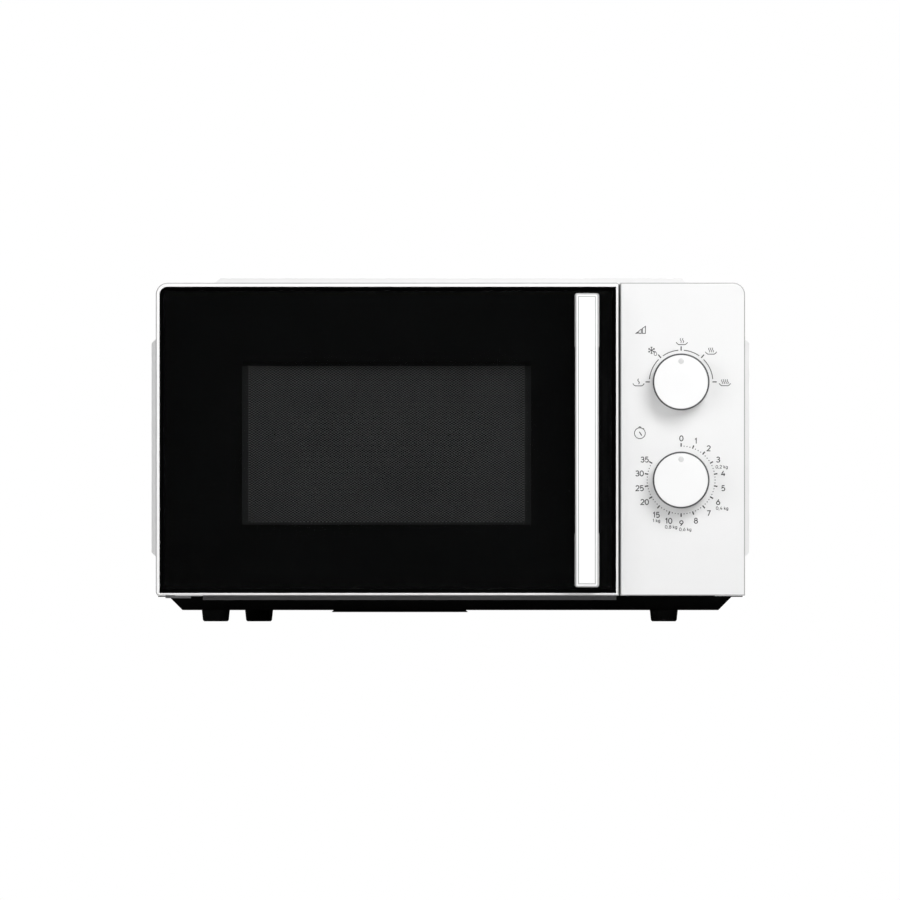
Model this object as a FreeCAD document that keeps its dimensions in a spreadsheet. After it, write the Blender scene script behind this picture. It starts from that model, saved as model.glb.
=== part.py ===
import FreeCAD, Part
import math
import os
import re
import Sketcher
from FreeCAD import Placement, Rotation, Vector

# Microwave oven, free-standing, 20 litres. Millimetres.
# X points right, Y points back (the door faces -Y), Z points up.
# The origin is on the table, under the middle of the oven.

# ---------------------------------------------------------------- driving sizes
SIZES = {
    # used throughout: gaps, and how far a cutting tool stands proud
    "fit_gap": 0.2, "bore_gap": 0.06, "over": 1.0,
    # case
    "case_side": 222.0, "case_top": 255.3, "case_low": 19.6, "case_back": 181.0, "sheet": 0.8,
    "case_round": 8.0, "plate_round": 10.5, "inner_chamfer": 5.5, "boss_side": 226.0, "boss_top": 259.4,
    "boss_front": -92.0, "boss_rear": 148.0, "boss_low": 48.3, "boss_high": 214.2, "boss_half": 178.7,
    "louvre_first": 100.0, "louvre_pitch": 12.0, "louvre_width": 5.0, "louvre_low": 90.0,
    "louvre_high": 180.0,
    "rear_slot_left": 134.0, "rear_slot_length": 12.0, "rear_slot_across": 17.0,
    "rear_slot_low": 96.0, "rear_slot_height": 5.0, "rear_slot_rise": 11.0,
    "case_screw": 1.9, "case_screw_reach": 6.0, "case_screw_head": 3.6, "case_head_height": 2.0,
    "cover_screw_hole": 2.1, "rear_screw_hole": 2.0,
    # front frame and base
    "frame_front": -120.0, "base_low": 8.5, "base_rim": 18.5, "base_half": 202.6, "base_trim": 2.0,
    "base_setback": 4.0,
    "base_front": -100.0, "base_rear": 161.0, "base_slot_left": 40.0, "base_slot_width": 5.0,
    "base_slot_across": 13.0, "base_slot_front": -80.0, "base_slot_back": -40.0,
    "motor_cover_left": -88.4, "motor_cover_right": 11.8, "motor_cover_front": -22.0,
    "motor_cover_back": 78.0, "motor_cover_low": 7.0, "motor_cover_flange": 4.0, "motor_cover_floor": 0.6,
    # cavity
    "cavity_left": -205.3, "cavity_right": 109.7, "cavity_floor": 38.8, "cavity_top": 236.8,
    "cavity_back": 177.0, "cavity_round": 9.0,
    # door
    "front": -157.0, "door_left": -222.8, "door_right": 127.3, "front_low": 19.5, "front_high": 256.1,
    "door_back": -121.0, "corner_round": 9.0, "latch_corner_round": 2.0, "edge_round": 1.0, "door_ledge": 3.0,
    "glass_left": -220.1, "glass_right": 125.4, "glass_low": 21.3, "glass_high": 253.2, "glass_depth": 3.0,
    "glass_screw_hole": 2.6, "screen_screw_hole": 2.3, "hinge_x": -211.0, "hinge_clear": 11.8,
    "choke_front": -147.4,
    # handle
    "handle_front": -187.0, "handle_left": 94.3, "handle_right": 112.2, "handle_low": 25.8,
    "handle_high": 248.2, "handle_depth": 12.5, "handle_leg": 42.0, "handle_round": 2.0,
    "handle_flare": 0.35, "handle_pilot": 2.0, "handle_pilot_depth": 12.0, "handle_screw": 1.9,
    "handle_screw_reach": 10.0, "handle_screw_head": 3.8, "handle_head_height": 2.4,
    # latch spring
    "spring_pitch": 3.2, "spring_length": 20.0, "spring_radius": 2.6, "spring_wire": 0.4, "spring_lift": 1.2,
    # control panel and knobs
    "panel_left": 128.6, "panel_right": 222.8, "panel_back": -120.4, "panel_wall": 2.4,
    "panel_side_chamfer": 0.5, "panel_post": 2.5, "panel_post_root": 0.5, "panel_hole": 4.5,
    "knob_x": 174.5, "power_z": 181.1, "timer_z": 106.9, "knob_radius": 21.5, "knob_face": 20.3,
    "knob_height": 20.4, "knob_wall": 2.2, "knob_lift": 0.6, "knob_draft": 0.3, "knob_rim": 1.0,
    "knob_hub": 5.4, "knob_web": 5.0, "knob_dot": 15.7, "knob_dot_radius": 2.15, "knob_dot_height": 0.5,
    "knob_dot_round": 0.45, "shaft": 3.0, "shaft_flat": 2.1, "shaft_out": 14.0, "shaft_in": 13.0,
    "shaft_flat_end": 2.0,
    # turntable
    "spin_x": -47.8, "spin_y": 28.5, "tray_radius": 122.5, "tray_low": 56.2, "tray_base": 106.5,
    "tray_shoulder": 114.5, "tray_slope": 111.5, "tray_glass": 4.5, "tray_step": 2.0, "tray_dish": 5.5,
    "tray_lip": 13.0, "tray_rim": 15.5, "tray_rim_width": 3.0, "peg_circle": 14.0, "peg_radius": 3.0,
    "peg_length": 7.0, "peg_root": 0.5, "lobe_reach": 17.0, "lobe_half": 4.0, "lobe_lift": 3.0,
    "wheel_radius": 8.5, "wheel_track": 97.0, "wheel_width": 5.0, "wheel_lift": 0.2, "axle": 2.0,
    "axle_root": 4.0, "axle_end": 5.0, "ring_inner": 84.0, "ring_outer": 90.0, "ring_half": 2.0,
    # feet
    "foot_top": 10.6, "foot_tread": 9.8, "foot_chamfer": 1.0, "foot_stem": 3.0, "foot_stem_height": 2.5,
    # magnetron fins
    "fin_left": 157.0, "fin_pitch": 5.0, "fin_sheet": 0.8, "fin_front": 2.0, "fin_back": 82.0,
    "fin_low": 124.0, "fin_high": 196.0,
    # fan
    "fan_x": 165.0, "fan_z": 140.0, "fan_middle": 159.0, "vane_root": 9.0, "vane_tip": 49.0,
    "vane_half_sheet": 0.8, "vane_half_width": 9.0,
    # oven lamp
    "bulb_x": 147.0, "bulb_y": -77.0, "bulb_z": 214.0, "bulb_long": 15.0, "bulb_round": 9.0,
    # wiring
    "lead_radius": 1.5,
}

# Plain blocks: left, right, front, back, low, high.
BLOCKS = {
    "service_window": (131.0, 215.0, -121.0, -118.0, 31.0, 246.0),
    "sill_nose": (-187.1, 125.5, -122.0, -117.4, 16.2, 19.2),
    "sill_tab": (-187.1, 125.5, -119.2, -117.4, 19.0, 27.0),
    "sill_groove": (-190.0, 128.0, -122.6, -121.4, 17.3, 18.0),
    "frame_return": (-216.0, 216.0, -119.4, -112.0, 253.4, 254.2),
    "upper_slot": (-216.6, -205.4, -121.0, -118.0, 249.3, 252.1),
    "latch_slot_high": (116.0, 124.0, -121.0, -118.0, 178.5, 195.5),
    "latch_slot_low": (116.0, 124.0, -121.0, -118.0, 73.5, 102.5),
    "cover_lip_left": (-221.6, -209.0, 181.0, 181.8, 22.0, 246.0),
    "cover_lip_right": (209.0, 221.6, 181.0, 181.8, 22.0, 246.0),
    "cover_lip_top": (-212.0, 212.0, 181.0, 181.8, 243.0, 255.0),
    "rear_spacer": (-120.0, 60.0, 180.5, 187.0, 60.0, 200.0),
    "rear_hollow": (-119.2, 59.2, 180.0, 186.2, 60.8, 199.2),
    "base_motor_hole": (-80.0, 4.0, -14.0, 70.0, 8.0, 10.0),
    "hinge_foot": (-215.5, -196.2, -143.0, -117.6, 17.5, 19.1),
    "hinge_leg": (-215.5, -208.0, -119.2, -117.6, 18.0, 48.0),
    "hinge_arm": (-216.0, -206.0, -141.0, -117.6, 249.8, 251.6),
    "hinge_hook": (-216.0, -207.0, -119.2, -117.6, 239.0, 250.5),
    "boss_lower": (-217.2, -204.0, -142.0, -129.0, 23.0, 33.0),
    "boss_upper": (-217.2, -204.0, -142.0, -129.0, 238.0, 249.0),
    "hinge_relief": (-230.0, -203.0, -144.0, -119.0, 249.2, 252.2),
    "spring_shelf": (113.0, 122.6, -134.0, -124.5, 228.0, 231.0),
    "choke_outer": (-203.5, 112.5, -147.4, -123.5, 34.0, 243.0),
    "choke_inner": (-183.0, 87.5, -148.0, -123.0, 56.0, 217.0),
    "choke_groove_out": (-202.7, 111.7, -146.6, -122.0, 34.8, 242.2),
    "choke_groove_in": (-183.8, 88.3, -147.0, -122.0, 55.2, 217.8),
    "screen_plate": (-203.5, 112.5, -148.2, -147.4, 34.0, 243.0),
    "choke_cover_plate": (-209.5, 122.3, -123.5, -121.0, 25.0, 248.6),
    "cover_hinge_cut": (-230.0, -202.0, -125.0, -119.0, 245.0, 252.0),
    "choke_cover_window": (-178.0, 82.0, -130.0, -120.0, 61.0, 212.0),
    "choke_cover_lip": (-180.5, 84.5, -142.0, -123.5, 58.5, 214.5),
    "cover_latch_high": (115.9, 122.1, -130.0, -120.0, 178.5, 195.5),
    "cover_latch_low": (115.9, 122.1, -130.0, -120.0, 73.5, 102.5),
    "latch_bar": (115.0, 122.0, -133.0, -124.6, 70.0, 205.0),
    "latch_arm_high": (117.0, 121.0, -125.0, -99.0, 183.0, 190.0),
    "latch_barb_high": (117.0, 121.0, -107.0, -99.0, 180.0, 184.0),
    "latch_arm_low": (117.0, 121.0, -125.0, -99.0, 82.0, 90.0),
    "latch_tip_low": (117.0, 121.0, -105.0, -99.0, 75.0, 97.0),
    "switch_high": (113.8, 124.1, -95.5, -79.6, 172.0, 199.8),
    "switch_mid": (113.8, 124.1, -95.5, -79.6, 86.3, 114.1),
    "switch_low": (113.8, 124.1, -95.5, -79.6, 58.1, 85.9),
    "bracket_web": (124.3, 126.3, -119.2, -78.0, 54.0, 206.0),
    "bracket_foot": (125.0, 129.6, -119.2, -117.2, 54.0, 206.0),
    "timer_case": (152.0, 197.0, -150.0, -118.0, 84.0, 204.0),
    "timer_plate": (149.0, 200.0, -152.0, -150.0, 82.0, 206.0),
    "core_outer": (122.0, 200.0, 25.0, 105.0, 9.3, 77.0),
    "core_window": (134.0, 188.0, 20.0, 110.0, 26.0, 60.0),
    "core_leg": (152.0, 170.0, 25.0, 105.0, 20.0, 66.0),
    "winding_outer": (135.0, 187.0, 10.0, 120.0, 27.0, 59.0),
    "winding_hollow": (151.5, 170.5, 24.0, 106.0, 20.0, 66.0),
    "capacitor_can": (122.0, 190.0, 126.5, 156.5, 11.2, 62.0),
    "clamp_outer": (143.0, 155.0, 125.3, 157.7, 9.3, 63.2),
    "clamp_inner": (142.0, 156.0, 126.3, 156.7, 8.0, 62.2),
    "yoke_outer": (151.0, 199.0, 0.0, 84.0, 118.0, 202.0),
    "yoke_hollow": (152.4, 197.6, -2.0, 86.0, 119.4, 200.6),
    "filter_box": (199.0, 217.0, 20.0, 64.0, 138.0, 182.0),
    "guide_outer": (110.6, 150.6, -6.0, 90.0, 116.0, 204.0),
    "guide_hollow": (109.0, 149.8, -5.2, 89.2, 116.8, 203.2),
    "guide_opening": (109.0, 111.5, 3.0, 82.0, 123.0, 195.0),
    "mica_sheet": (109.0, 109.6, -2.0, 87.0, 118.0, 200.0),
    "shroud_plate": (112.5, 219.5, 170.0, 172.4, 78.0, 202.0),
    "fan_stack": (145.0, 185.0, 118.0, 138.0, 110.0, 170.0),
    "fan_strap": (113.0, 217.0, 138.0, 139.6, 134.0, 146.0),
    "fan_leg_left": (113.0, 114.6, 138.0, 170.0, 134.0, 146.0),
    "fan_leg_right": (215.4, 217.0, 138.0, 170.0, 134.0, 146.0),
    "duct_outer": (111.0, 200.0, -52.0, -8.0, 120.0, 200.0),
    "duct_hollow": (110.0, 198.4, -50.4, -6.0, 121.6, 198.4),
    "lamp_bracket": (111.0, 113.0, -92.0, -62.0, 196.0, 232.0),
    "board_plate": (128.0, 206.0, -60.0, -4.0, 206.0, 207.6),
    "board_coil_base": (138.0, 158.0, -50.0, -28.0, 207.6, 210.0),
    "board_capacitor": (166.0, 190.0, -50.0, -40.0, 207.6, 223.0),
    "board_fuse": (166.0, 190.0, -26.0, -20.0, 207.6, 214.0),
    "motor_flange": (-79.8, -15.8, 20.5, 36.5, 36.4, 38.0),
    "gland_flange": (184.0, 206.0, 181.0, 183.0, 24.0, 48.0),
    "diode_body": (192.0, 196.0, 132.0, 146.0, 20.0, 28.0),
}

# Round rods: axis, the two cross coordinates (in X, Y, Z order), radius, start, end.
RODS = {
    "floor_hole": ("Z", -47.8, 28.5, 6.0, 36.0, 42.0),
    "pin_lower": ("Z", -211.0, -135.5, 2.4, 18.5, 31.0),
    "pin_upper": ("Z", -211.0, -135.5, 2.4, 239.6, 250.5),
    "bore_lower": ("Z", -211.0, -135.5, 2.46, 19.0, 31.6),
    "bore_upper": ("Z", -211.0, -135.5, 2.46, 239.0, 252.0),
    "plunger_high": ("Y", 119.0, 186.5, 1.6, -98.6, -90.0),
    "plunger_mid": ("Y", 119.0, 93.5, 1.6, -98.6, -90.0),
    "plunger_low": ("Y", 119.0, 78.5, 1.6, -98.6, -90.0),
    "plunger_bore_high": ("Y", 119.0, 186.5, 1.66, -97.0, -84.0),
    "plunger_bore_mid": ("Y", 119.0, 93.5, 1.66, -97.0, -84.0),
    "plunger_bore_low": ("Y", 119.0, 78.5, 1.66, -97.0, -84.0),
    "power_boss": ("Y", 174.5, 181.1, 7.0, -153.4, -149.0),
    "timer_boss": ("Y", 174.5, 106.9, 7.0, -153.4, -149.0),
    "power_bore": ("Y", 174.5, 181.1, 3.06, -154.0, -142.0),
    "timer_bore": ("Y", 174.5, 106.9, 3.06, -154.0, -142.0),
    "timer_motor": ("Y", 174.5, 106.9, 17.0, -119.0, -106.0),
    "timer_bell_post": ("Y", 174.5, 160.0, 3.0, -118.0, -108.0),
    "bell_dome": ("Y", 174.5, 160.0, 19.0, -110.0, -108.0),
    "bell_rim": ("Y", 174.5, 160.0, 19.0, -114.0, -109.0),
    "bell_hollow": ("Y", 174.5, 160.0, 18.0, -115.0, -110.0),
    "motor_can": ("Z", -47.8, 28.5, 25.0, 18.0, 36.4),
    "motor_bore": ("Z", -47.8, 28.5, 3.56, 28.0, 39.0),
    "antenna": ("X", 42.0, 160.0, 7.5, 128.0, 152.4),
    "antenna_hole": ("X", 42.0, 160.0, 7.6, 149.0, 152.6),
    "anode": ("X", 42.0, 160.0, 19.0, 152.4, 197.6),
    "shroud_hole": ("Y", 165.0, 140.0, 53.0, 140.0, 180.0),
    "shroud_ring": ("Y", 165.0, 140.0, 54.2, 152.0, 171.0),
    "fan_bore": ("Y", 165.0, 140.0, 2.06, 117.0, 141.0),
    "fan_shaft": ("Y", 165.0, 140.0, 2.0, 122.0, 160.0),
    "fan_hub": ("Y", 165.0, 140.0, 11.0, 152.0, 166.0),
    "lamp_socket": ("X", -77.0, 214.0, 10.0, 113.0, 124.0),
    "lamp_neck": ("X", -77.0, 214.0, 6.0, 124.0, 134.0),
    "thermostat_side": ("X", -104.0, 150.0, 8.0, 110.5, 116.0),
    "thermostat_top": ("Z", 60.0, 60.0, 8.0, 237.6, 243.0),
    "gland_body": ("Y", 195.0, 36.0, 9.0, 172.0, 187.0),
    "gland_bore": ("Y", 195.0, 36.0, 3.7, 170.0, 190.0),
    "gland_hole": ("Y", 195.0, 36.0, 9.05, 179.0, 182.0),
    "board_coil": ("Z", 148.0, -39.0, 10.0, 210.0, 222.0),
    "coupler_shaft": ("Z", -47.8, 28.5, 3.5, 29.0, 41.0),
    "coupler_hub": ("Z", -47.8, 28.5, 7.5, 39.6, 51.0),
}

FOOT_PLACES = {
    "foot_front_left": (-177.4, -88.0), "foot_front_right": (161.4, -88.0),
    "foot_rear_left": (-144.7, 142.0), "foot_rear_right": (161.4, 142.0),
}
CASE_SCREWS = ((-215.0, 60.0), (-215.0, 200.0), (215.0, 60.0), (215.0, 200.0), (-150.0, 249.0),
               (150.0, 249.0))
HANDLE_SCREWS = (46.8, 227.2)
PANEL_POSTS = ((153.0, 90.0), (153.0, 198.0), (196.0, 90.0), (196.0, 198.0))
# Fields of round holes in the cavity's side walls: the wall, first Y, first Z, Y pitch, Z pitch, radius.
HOLE_FIELDS = {
    "air_hole": ("cavity_right", -46.0, 138.0, 7.0, 7.0, 1.8),
    "lamp_hole": ("cavity_right", -91.0, 197.0, 7.0, 6.0, 1.5),
    "steam_hole": ("cavity_left", 100.0, 170.0, 7.0, 7.0, 1.8),
}
HOLE_ROWS = 6
HOLE_COLUMNS = 5
LEAD_ROUTES = {
    "timer_lead": ((206, -112, 150), (206, -80, 150), (206, -80, 40), (206, 60, 40)),
    "switch_lead": ((134, -100, 60), (134, -60, 60), (134, -60, 20), (134, 5, 20)),
    "fan_lead": ((208, 112, 140), (208, 112, 70), (208, 30, 70)),
}
LOUVRE_COUNT = 4
REAR_SLOT_ROWS = 9
REAR_SLOT_COLUMNS = 4
BASE_SLOT_COUNT = 12
LOBE_COUNT = 3
PEG_TURN = 60.0
FIN_COUNT = 8
BLADE_COUNT = 5
BLADE_PITCH = 50.0
# Draft angles of the raised panels, negative because they grow towards the sheet.
SIDE_DRAFT = -43.0
TOP_DRAFT = -45.0
EDGE_DRAFT = 45.0
TURN_TO = {"X": Rotation(Vector(0, 1, 0), 90), "Y": Rotation(Vector(1, 0, 0), -90), "Z": Rotation()}

doc = FreeCAD.newDocument("microwave_oven")
sheet = doc.addObject("Spreadsheet::Sheet", "dims")


def fill_sheet():
    """Write every driving size into the spreadsheet, one alias a row."""
    for name, spans in BLOCKS.items():
        for side, number in zip(("left", "right", "front", "back", "low", "high"), spans):
            SIZES[name + "_" + side] = number
    for name, rod_sizes in RODS.items():
        for part_name, number in zip(("first", "second", "radius", "start", "end"), rod_sizes[1:]):
            SIZES[name + "_" + part_name] = number
    for name, (foot_x, foot_y) in FOOT_PLACES.items():
        SIZES[name + "_across"] = foot_x
        SIZES[name + "_along"] = foot_y
    for name, field in HOLE_FIELDS.items():
        for part_name, number in zip(("first_y", "first_z", "pitch_y", "pitch_z", "radius"), field[1:]):
            SIZES[name + "_" + part_name] = number
    for row, (alias, number) in enumerate(SIZES.items(), 1):
        sheet.set("A%d" % row, alias)
        sheet.set("B%d" % row, str(number))
        sheet.setAlias("B%d" % row, alias)
    doc.recompute()


fill_sheet()


# ---------------------------------------------------------------- helpers
def linked(text):
    """Turn 'case_top - sheet' into an expression on the spreadsheet."""
    def alias(found):
        return "dims." + found.group(0) if found.group(0) in SIZES else found.group(0)
    return re.sub(r"[a-z_]+", alias, str(text))


def size(alias):
    return float(sheet.get(alias))


def bind(obj, **sizes):
    """Tie properties to the spreadsheet; PX, PY and PZ are the placement's coordinates."""
    for prop, text in sizes.items():
        path = {"PX": "Placement.Base.x", "PY": "Placement.Base.y", "PZ": "Placement.Base.z"}.get(prop, prop)
        obj.setExpression(path, linked(text))
    return obj


def box(name, left, right, front, back, low, high):
    obj = doc.addObject("Part::Box", name)
    return bind(obj, PX=left, PY=front, PZ=low, Length="(%s) - (%s)" % (right, left),
                Width="(%s) - (%s)" % (back, front), Height="(%s) - (%s)" % (high, low))


def block(name):
    return box(name, *[name + "_" + side for side in ("left", "right", "front", "back", "low", "high")])


def cylinder(name, axis, first, second, radius, start, end):
    """Cylinder along an axis; first and second are its centre in the other two, in X, Y, Z order."""
    obj = doc.addObject("Part::Cylinder", name)
    obj.Placement = Placement(Vector(), TURN_TO[axis])
    places = {"X": (start, first, second), "Y": (first, start, second), "Z": (first, second, start)}[axis]
    return bind(obj, Radius=radius, Height="(%s) - (%s)" % (end, start),
                PX=places[0], PY=places[1], PZ=places[2])


def rod(name):
    return cylinder(name, RODS[name][0], *[name + "_" + word for word in
                                           ("first", "second", "radius", "start", "end")])


def fuse(name, *pieces):
    obj = doc.addObject("Part::MultiFuse", name)
    obj.Shapes = list(pieces)
    return obj


def cut(name, base, *tools):
    obj = doc.addObject("Part::Cut", name)
    obj.Base = base
    obj.Tool = tools[0] if len(tools) == 1 else fuse(name + "_tools", *tools)
    return obj


def round_edges(name, base, radius, keep):
    """Round the edges of a primitive for which keep(edge) is true."""
    doc.recompute()
    obj = doc.addObject("Part::Fillet", name)
    obj.Base = base
    obj.Edges = [(i, size(radius), size(radius)) for i, edge in enumerate(base.Shape.Edges, 1) if keep(edge)]
    return obj


def moved(name, base, offset, turn=None):
    """A copy that follows its source, put somewhere else."""
    obj = doc.addObject("Part::Compound", name)
    obj.Links = [base]
    obj.Placement = Placement(Vector(*offset), turn or Rotation())
    return obj


def along(edge, axis):
    """True for a straight edge that runs along the axis 'X', 'Y' or 'Z'."""
    if not isinstance(edge.Curve, (Part.Line, Part.LineSegment)):
        return False
    direction = edge.tangentAt(edge.FirstParameter)
    return abs(getattr(direction, axis.lower())) > 0.999


def body(label):
    obj = doc.addObject("PartDesign::Body", label)
    return obj


def rect(first, second, low, high):
    return [(first, low), (second, low), (second, high), (first, high)]


def arch(first, second, low, high, left_cut, right_cut):
    """Rectangle with its two upper corners cut off at 45 degrees."""
    return [(first, low), (second, low), (second, high + " - " + right_cut),
            (second + " - " + right_cut, high), (first + " + " + left_cut, high),
            (first, high + " - " + left_cut)]


def sketch(owner, name, plane, level, outlines):
    """Sketch on a plane of the body; an outline is a list of corners, or a (x, y, radius) circle."""
    obj = owner.newObject("Sketcher::SketchObject", name)
    support = [part for part in owner.Origin.OriginFeatures if part.Role == plane][0]
    obj.AttachmentSupport = [(support, "")]
    obj.MapMode = "FlatFace"
    sign = "-" if plane == "XZ_Plane" else ""
    obj.setExpression("AttachmentOffset.Base.z", linked("%s(%s)" % (sign, level)))

    def pin(kind, geometry, point, text):
        index = obj.addConstraint(Sketcher.Constraint(kind, -1, 1, geometry, point, 1.0))
        obj.setExpression("Constraints[%d]" % index, linked(text))

    for outline in outlines:
        if isinstance(outline, tuple):
            circle = obj.addGeometry(Part.Circle(Vector(1, 1, 0), Vector(0, 0, 1), 1.0))
            pin("DistanceX", circle, 3, outline[0])
            pin("DistanceY", circle, 3, outline[1])
            index = obj.addConstraint(Sketcher.Constraint("Radius", circle, 1.0))
            obj.setExpression("Constraints[%d]" % index, linked(outline[2]))
            continue
        count = len(outline)
        ring = [Vector(math.cos(2 * math.pi * i / count), math.sin(2 * math.pi * i / count), 0)
                for i in range(count)]
        lines = [obj.addGeometry(Part.LineSegment(ring[i], ring[(i + 1) % count])) for i in range(count)]
        for i in range(count):
            obj.addConstraint(Sketcher.Constraint("Coincident", lines[i], 2, lines[(i + 1) % count], 1))
        for line, (across, up) in zip(lines, outline):
            pin("DistanceX", line, 1, across)
            pin("DistanceY", line, 1, up)
    return obj


def pad(owner, name, plane, start, end, *outlines, taper=None, downwards=False):
    """Add material from start to end along the plane's own world axis, or against it."""
    obj = owner.newObject("PartDesign::Pad", name)
    obj.Profile = sketch(owner, name + "_sketch", plane, start, outlines)
    obj.setExpression("Length", linked("abs((%s) - (%s))" % (end, start)))
    obj.Reversed = (plane == "XZ_Plane") != downwards
    if taper:
        obj.TaperAngle = taper
    doc.recompute()
    return obj


def pocket(owner, name, plane, start, end, *outlines, taper=None, downwards=False):
    """Take material away from start to end along the plane's own world axis, or against it."""
    before = owner.Shape.Volume
    obj = owner.newObject("PartDesign::Pocket", name)
    obj.Profile = sketch(owner, name + "_sketch", plane, start, outlines)
    obj.setExpression("Length", linked("abs((%s) - (%s))" % (end, start)))
    obj.Reversed = (plane != "XZ_Plane") != downwards
    if taper:
        obj.TaperAngle = taper
    doc.recompute()
    if owner.Shape.Volume > before - 0.1:
        raise ValueError("pocket %s cuts nothing" % name)
    return obj


def lathe(owner, name, *outlines):
    """Turn outlines, given as radius and height, about the body's own Z axis."""
    obj = owner.newObject("PartDesign::Revolution", name)
    obj.Profile = sketch(owner, name + "_sketch", "XZ_Plane", "0", outlines)
    obj.ReferenceAxis = (obj.Profile[0], ["V_Axis"])
    obj.Angle = 360
    doc.recompute()
    return obj


def soften(owner, name, radius, keep):
    """Fillet the edges of the body for which keep(edge) is true."""
    base = owner.Tip
    edges = ["Edge%d" % i for i, edge in enumerate(base.Shape.Edges, 1) if keep(edge)]
    obj = owner.newObject("PartDesign::Fillet", name)
    obj.Base = (base, edges)
    obj.setExpression("Radius", linked(radius))
    doc.recompute()
    return obj


def near(value, target, slack=0.05):
    return abs(value - target) < slack


SUB_PARTS = []


def finish(obj, label):
    """Give a sub-part its own name and put it on the list of files to write."""
    obj.Label = label
    SUB_PARTS.append(obj)
    return obj


# ---------------------------------------------------------------- case
def outer_cover():
    """Wrap-round steel cover, with a raised panel on each side and on top."""
    cover = body("outer_cover")
    pad(cover, "cover_block", "XZ_Plane", "frame_front", "case_back + sheet",
        rect("-case_side", "case_side", "case_low", "case_top"))
    soften(cover, "cover_round", "case_round",
           lambda edge: along(edge, "Y") and near(edge.CenterOfMass.z, size("case_top")))
    side_panel = rect("boss_front", "boss_rear", "boss_low", "boss_high")
    top_panel = rect("-boss_half", "boss_half", "boss_front", "boss_rear")
    pad(cover, "right_boss", "YZ_Plane", "case_side", "boss_side", side_panel, taper=SIDE_DRAFT)
    pad(cover, "left_boss", "YZ_Plane", "-case_side", "-boss_side", side_panel, taper=SIDE_DRAFT,
        downwards=True)
    pad(cover, "top_boss", "XY_Plane", "case_top", "boss_top", top_panel, taper=TOP_DRAFT)
    pocket(cover, "cover_inside", "XZ_Plane", "frame_front", "case_back",
           arch("-case_side + sheet", "case_side - sheet", "case_low - over", "case_top - sheet",
                "inner_chamfer", "inner_chamfer"))
    pocket(cover, "cover_rear_opening", "XZ_Plane", "case_back - over", "case_back + sheet + over",
           rect("cover_lip_left_right", "cover_lip_right_left", "case_low - over", "cover_lip_top_low"))
    pocket(cover, "right_hollow", "YZ_Plane", "case_side - sheet", "boss_side - sheet", side_panel,
           taper=SIDE_DRAFT)
    pocket(cover, "left_hollow", "YZ_Plane", "-case_side + sheet", "-boss_side + sheet", side_panel,
           taper=SIDE_DRAFT, downwards=True)
    pocket(cover, "top_hollow", "XY_Plane", "case_top - sheet", "boss_top - sheet", top_panel,
           taper=TOP_DRAFT)
    slots = []
    for i in range(LOUVRE_COUNT):
        start = "louvre_first + %d * louvre_pitch" % i
        slots.append(rect(start, start + " + louvre_width", "louvre_low", "louvre_high"))
    pocket(cover, "side_louvres", "YZ_Plane", "-boss_side - over", "boss_side + over", *slots)
    holes = [(str(across), str(up), "cover_screw_hole") for across, up in CASE_SCREWS]
    pocket(cover, "cover_screw_holes", "XZ_Plane", "case_back - over", "case_back + sheet + over", *holes)
    return finish(cover, "outer_cover")


def rear_panel():
    """Flat rear wall with a hollow spacer, air slots and the cable hole."""
    plate = box("rear_plate", "-case_side + sheet + fit_gap", "case_side - sheet - fit_gap",
                "case_back - sheet", "case_back", "case_low", "case_top - sheet - fit_gap")
    rounded = round_edges("rear_plate_round", plate, "plate_round",
                          lambda edge: along(edge, "Y") and edge.CenterOfMass.z > size("case_top") - 5)
    pressed = fuse("rear_pressed", rounded, block("rear_spacer"))
    slots = []
    for row in range(REAR_SLOT_ROWS):
        for column in range(REAR_SLOT_COLUMNS):
            left = "rear_slot_left + %d * rear_slot_across" % column
            low = "rear_slot_low + %d * rear_slot_rise" % row
            slots.append(box("rear_slot_%d_%d" % (row, column), left, left + " + rear_slot_length",
                             "case_back - over", "case_back + over", low, low + " + rear_slot_height"))
    holes = [cylinder("rear_hole_%d" % i, "Y", str(across), str(up), "rear_screw_hole", "case_back - over",
                      "case_back + over") for i, (across, up) in enumerate(CASE_SCREWS)]
    return finish(cut("rear_panel", pressed, block("rear_hollow"), rod("gland_hole"), *slots, *holes),
                  "rear_panel")


def pan(name, drop, inset):
    """Solid with a flat bottom and four sides that lean outwards, for the base."""
    obj = doc.addObject("Part::Wedge", name)
    obj.Placement = Placement(Vector(), Rotation(Vector(1, 0, 0), 90))
    bind(obj, Ymin="base_low + " + drop, Ymax="base_rim + base_trim",
         Xmin="-base_half + " + inset, Xmax="base_half - " + inset,
         Zmin="-base_rear + " + inset, Zmax="-base_front - " + inset,
         X2min="-base_half - base_rim + base_low - base_trim + " + inset,
         X2max="base_half + base_rim - base_low + base_trim - " + inset,
         Z2min="-base_rear - base_rim + base_low - base_trim + " + inset,
         Z2max="-base_front + base_rim - base_low + base_trim - " + inset)
    return obj


def base_plate():
    """Pressed steel base pan with sloping sides and a flat rim."""
    rim = box("base_rim_plate", "-case_side + sheet + fit_gap", "case_side - sheet - fit_gap",
              "frame_front + base_setback", "case_back - sheet - fit_gap", "base_rim", "base_rim + sheet")
    trim = box("base_trim", "-case_side", "case_side", "frame_front", "case_back", "base_rim + sheet",
               "base_rim + 2 * base_trim")
    outside = cut("pan_outside", pan("pan_solid", "0", "0"), trim)
    tools = [pan("pan_hollow", "sheet", "sheet * 0.5"), block("base_motor_hole")]
    for name in FOOT_PLACES:
        tools.append(cylinder(name + "_hole", "Z", name + "_across", name + "_along", "foot_stem + bore_gap",
                              "base_low - over", "base_low + over"))
    for i in range(BASE_SLOT_COUNT):
        left = "base_slot_left + %d * base_slot_across" % i
        tools.append(box("base_slot_%d" % i, left, left + " + base_slot_width", "base_slot_front",
                         "base_slot_back", "base_low - over", "base_low + over"))
    return finish(cut("base_plate", fuse("base_solid", rim, outside), *tools), "base_plate")


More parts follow.
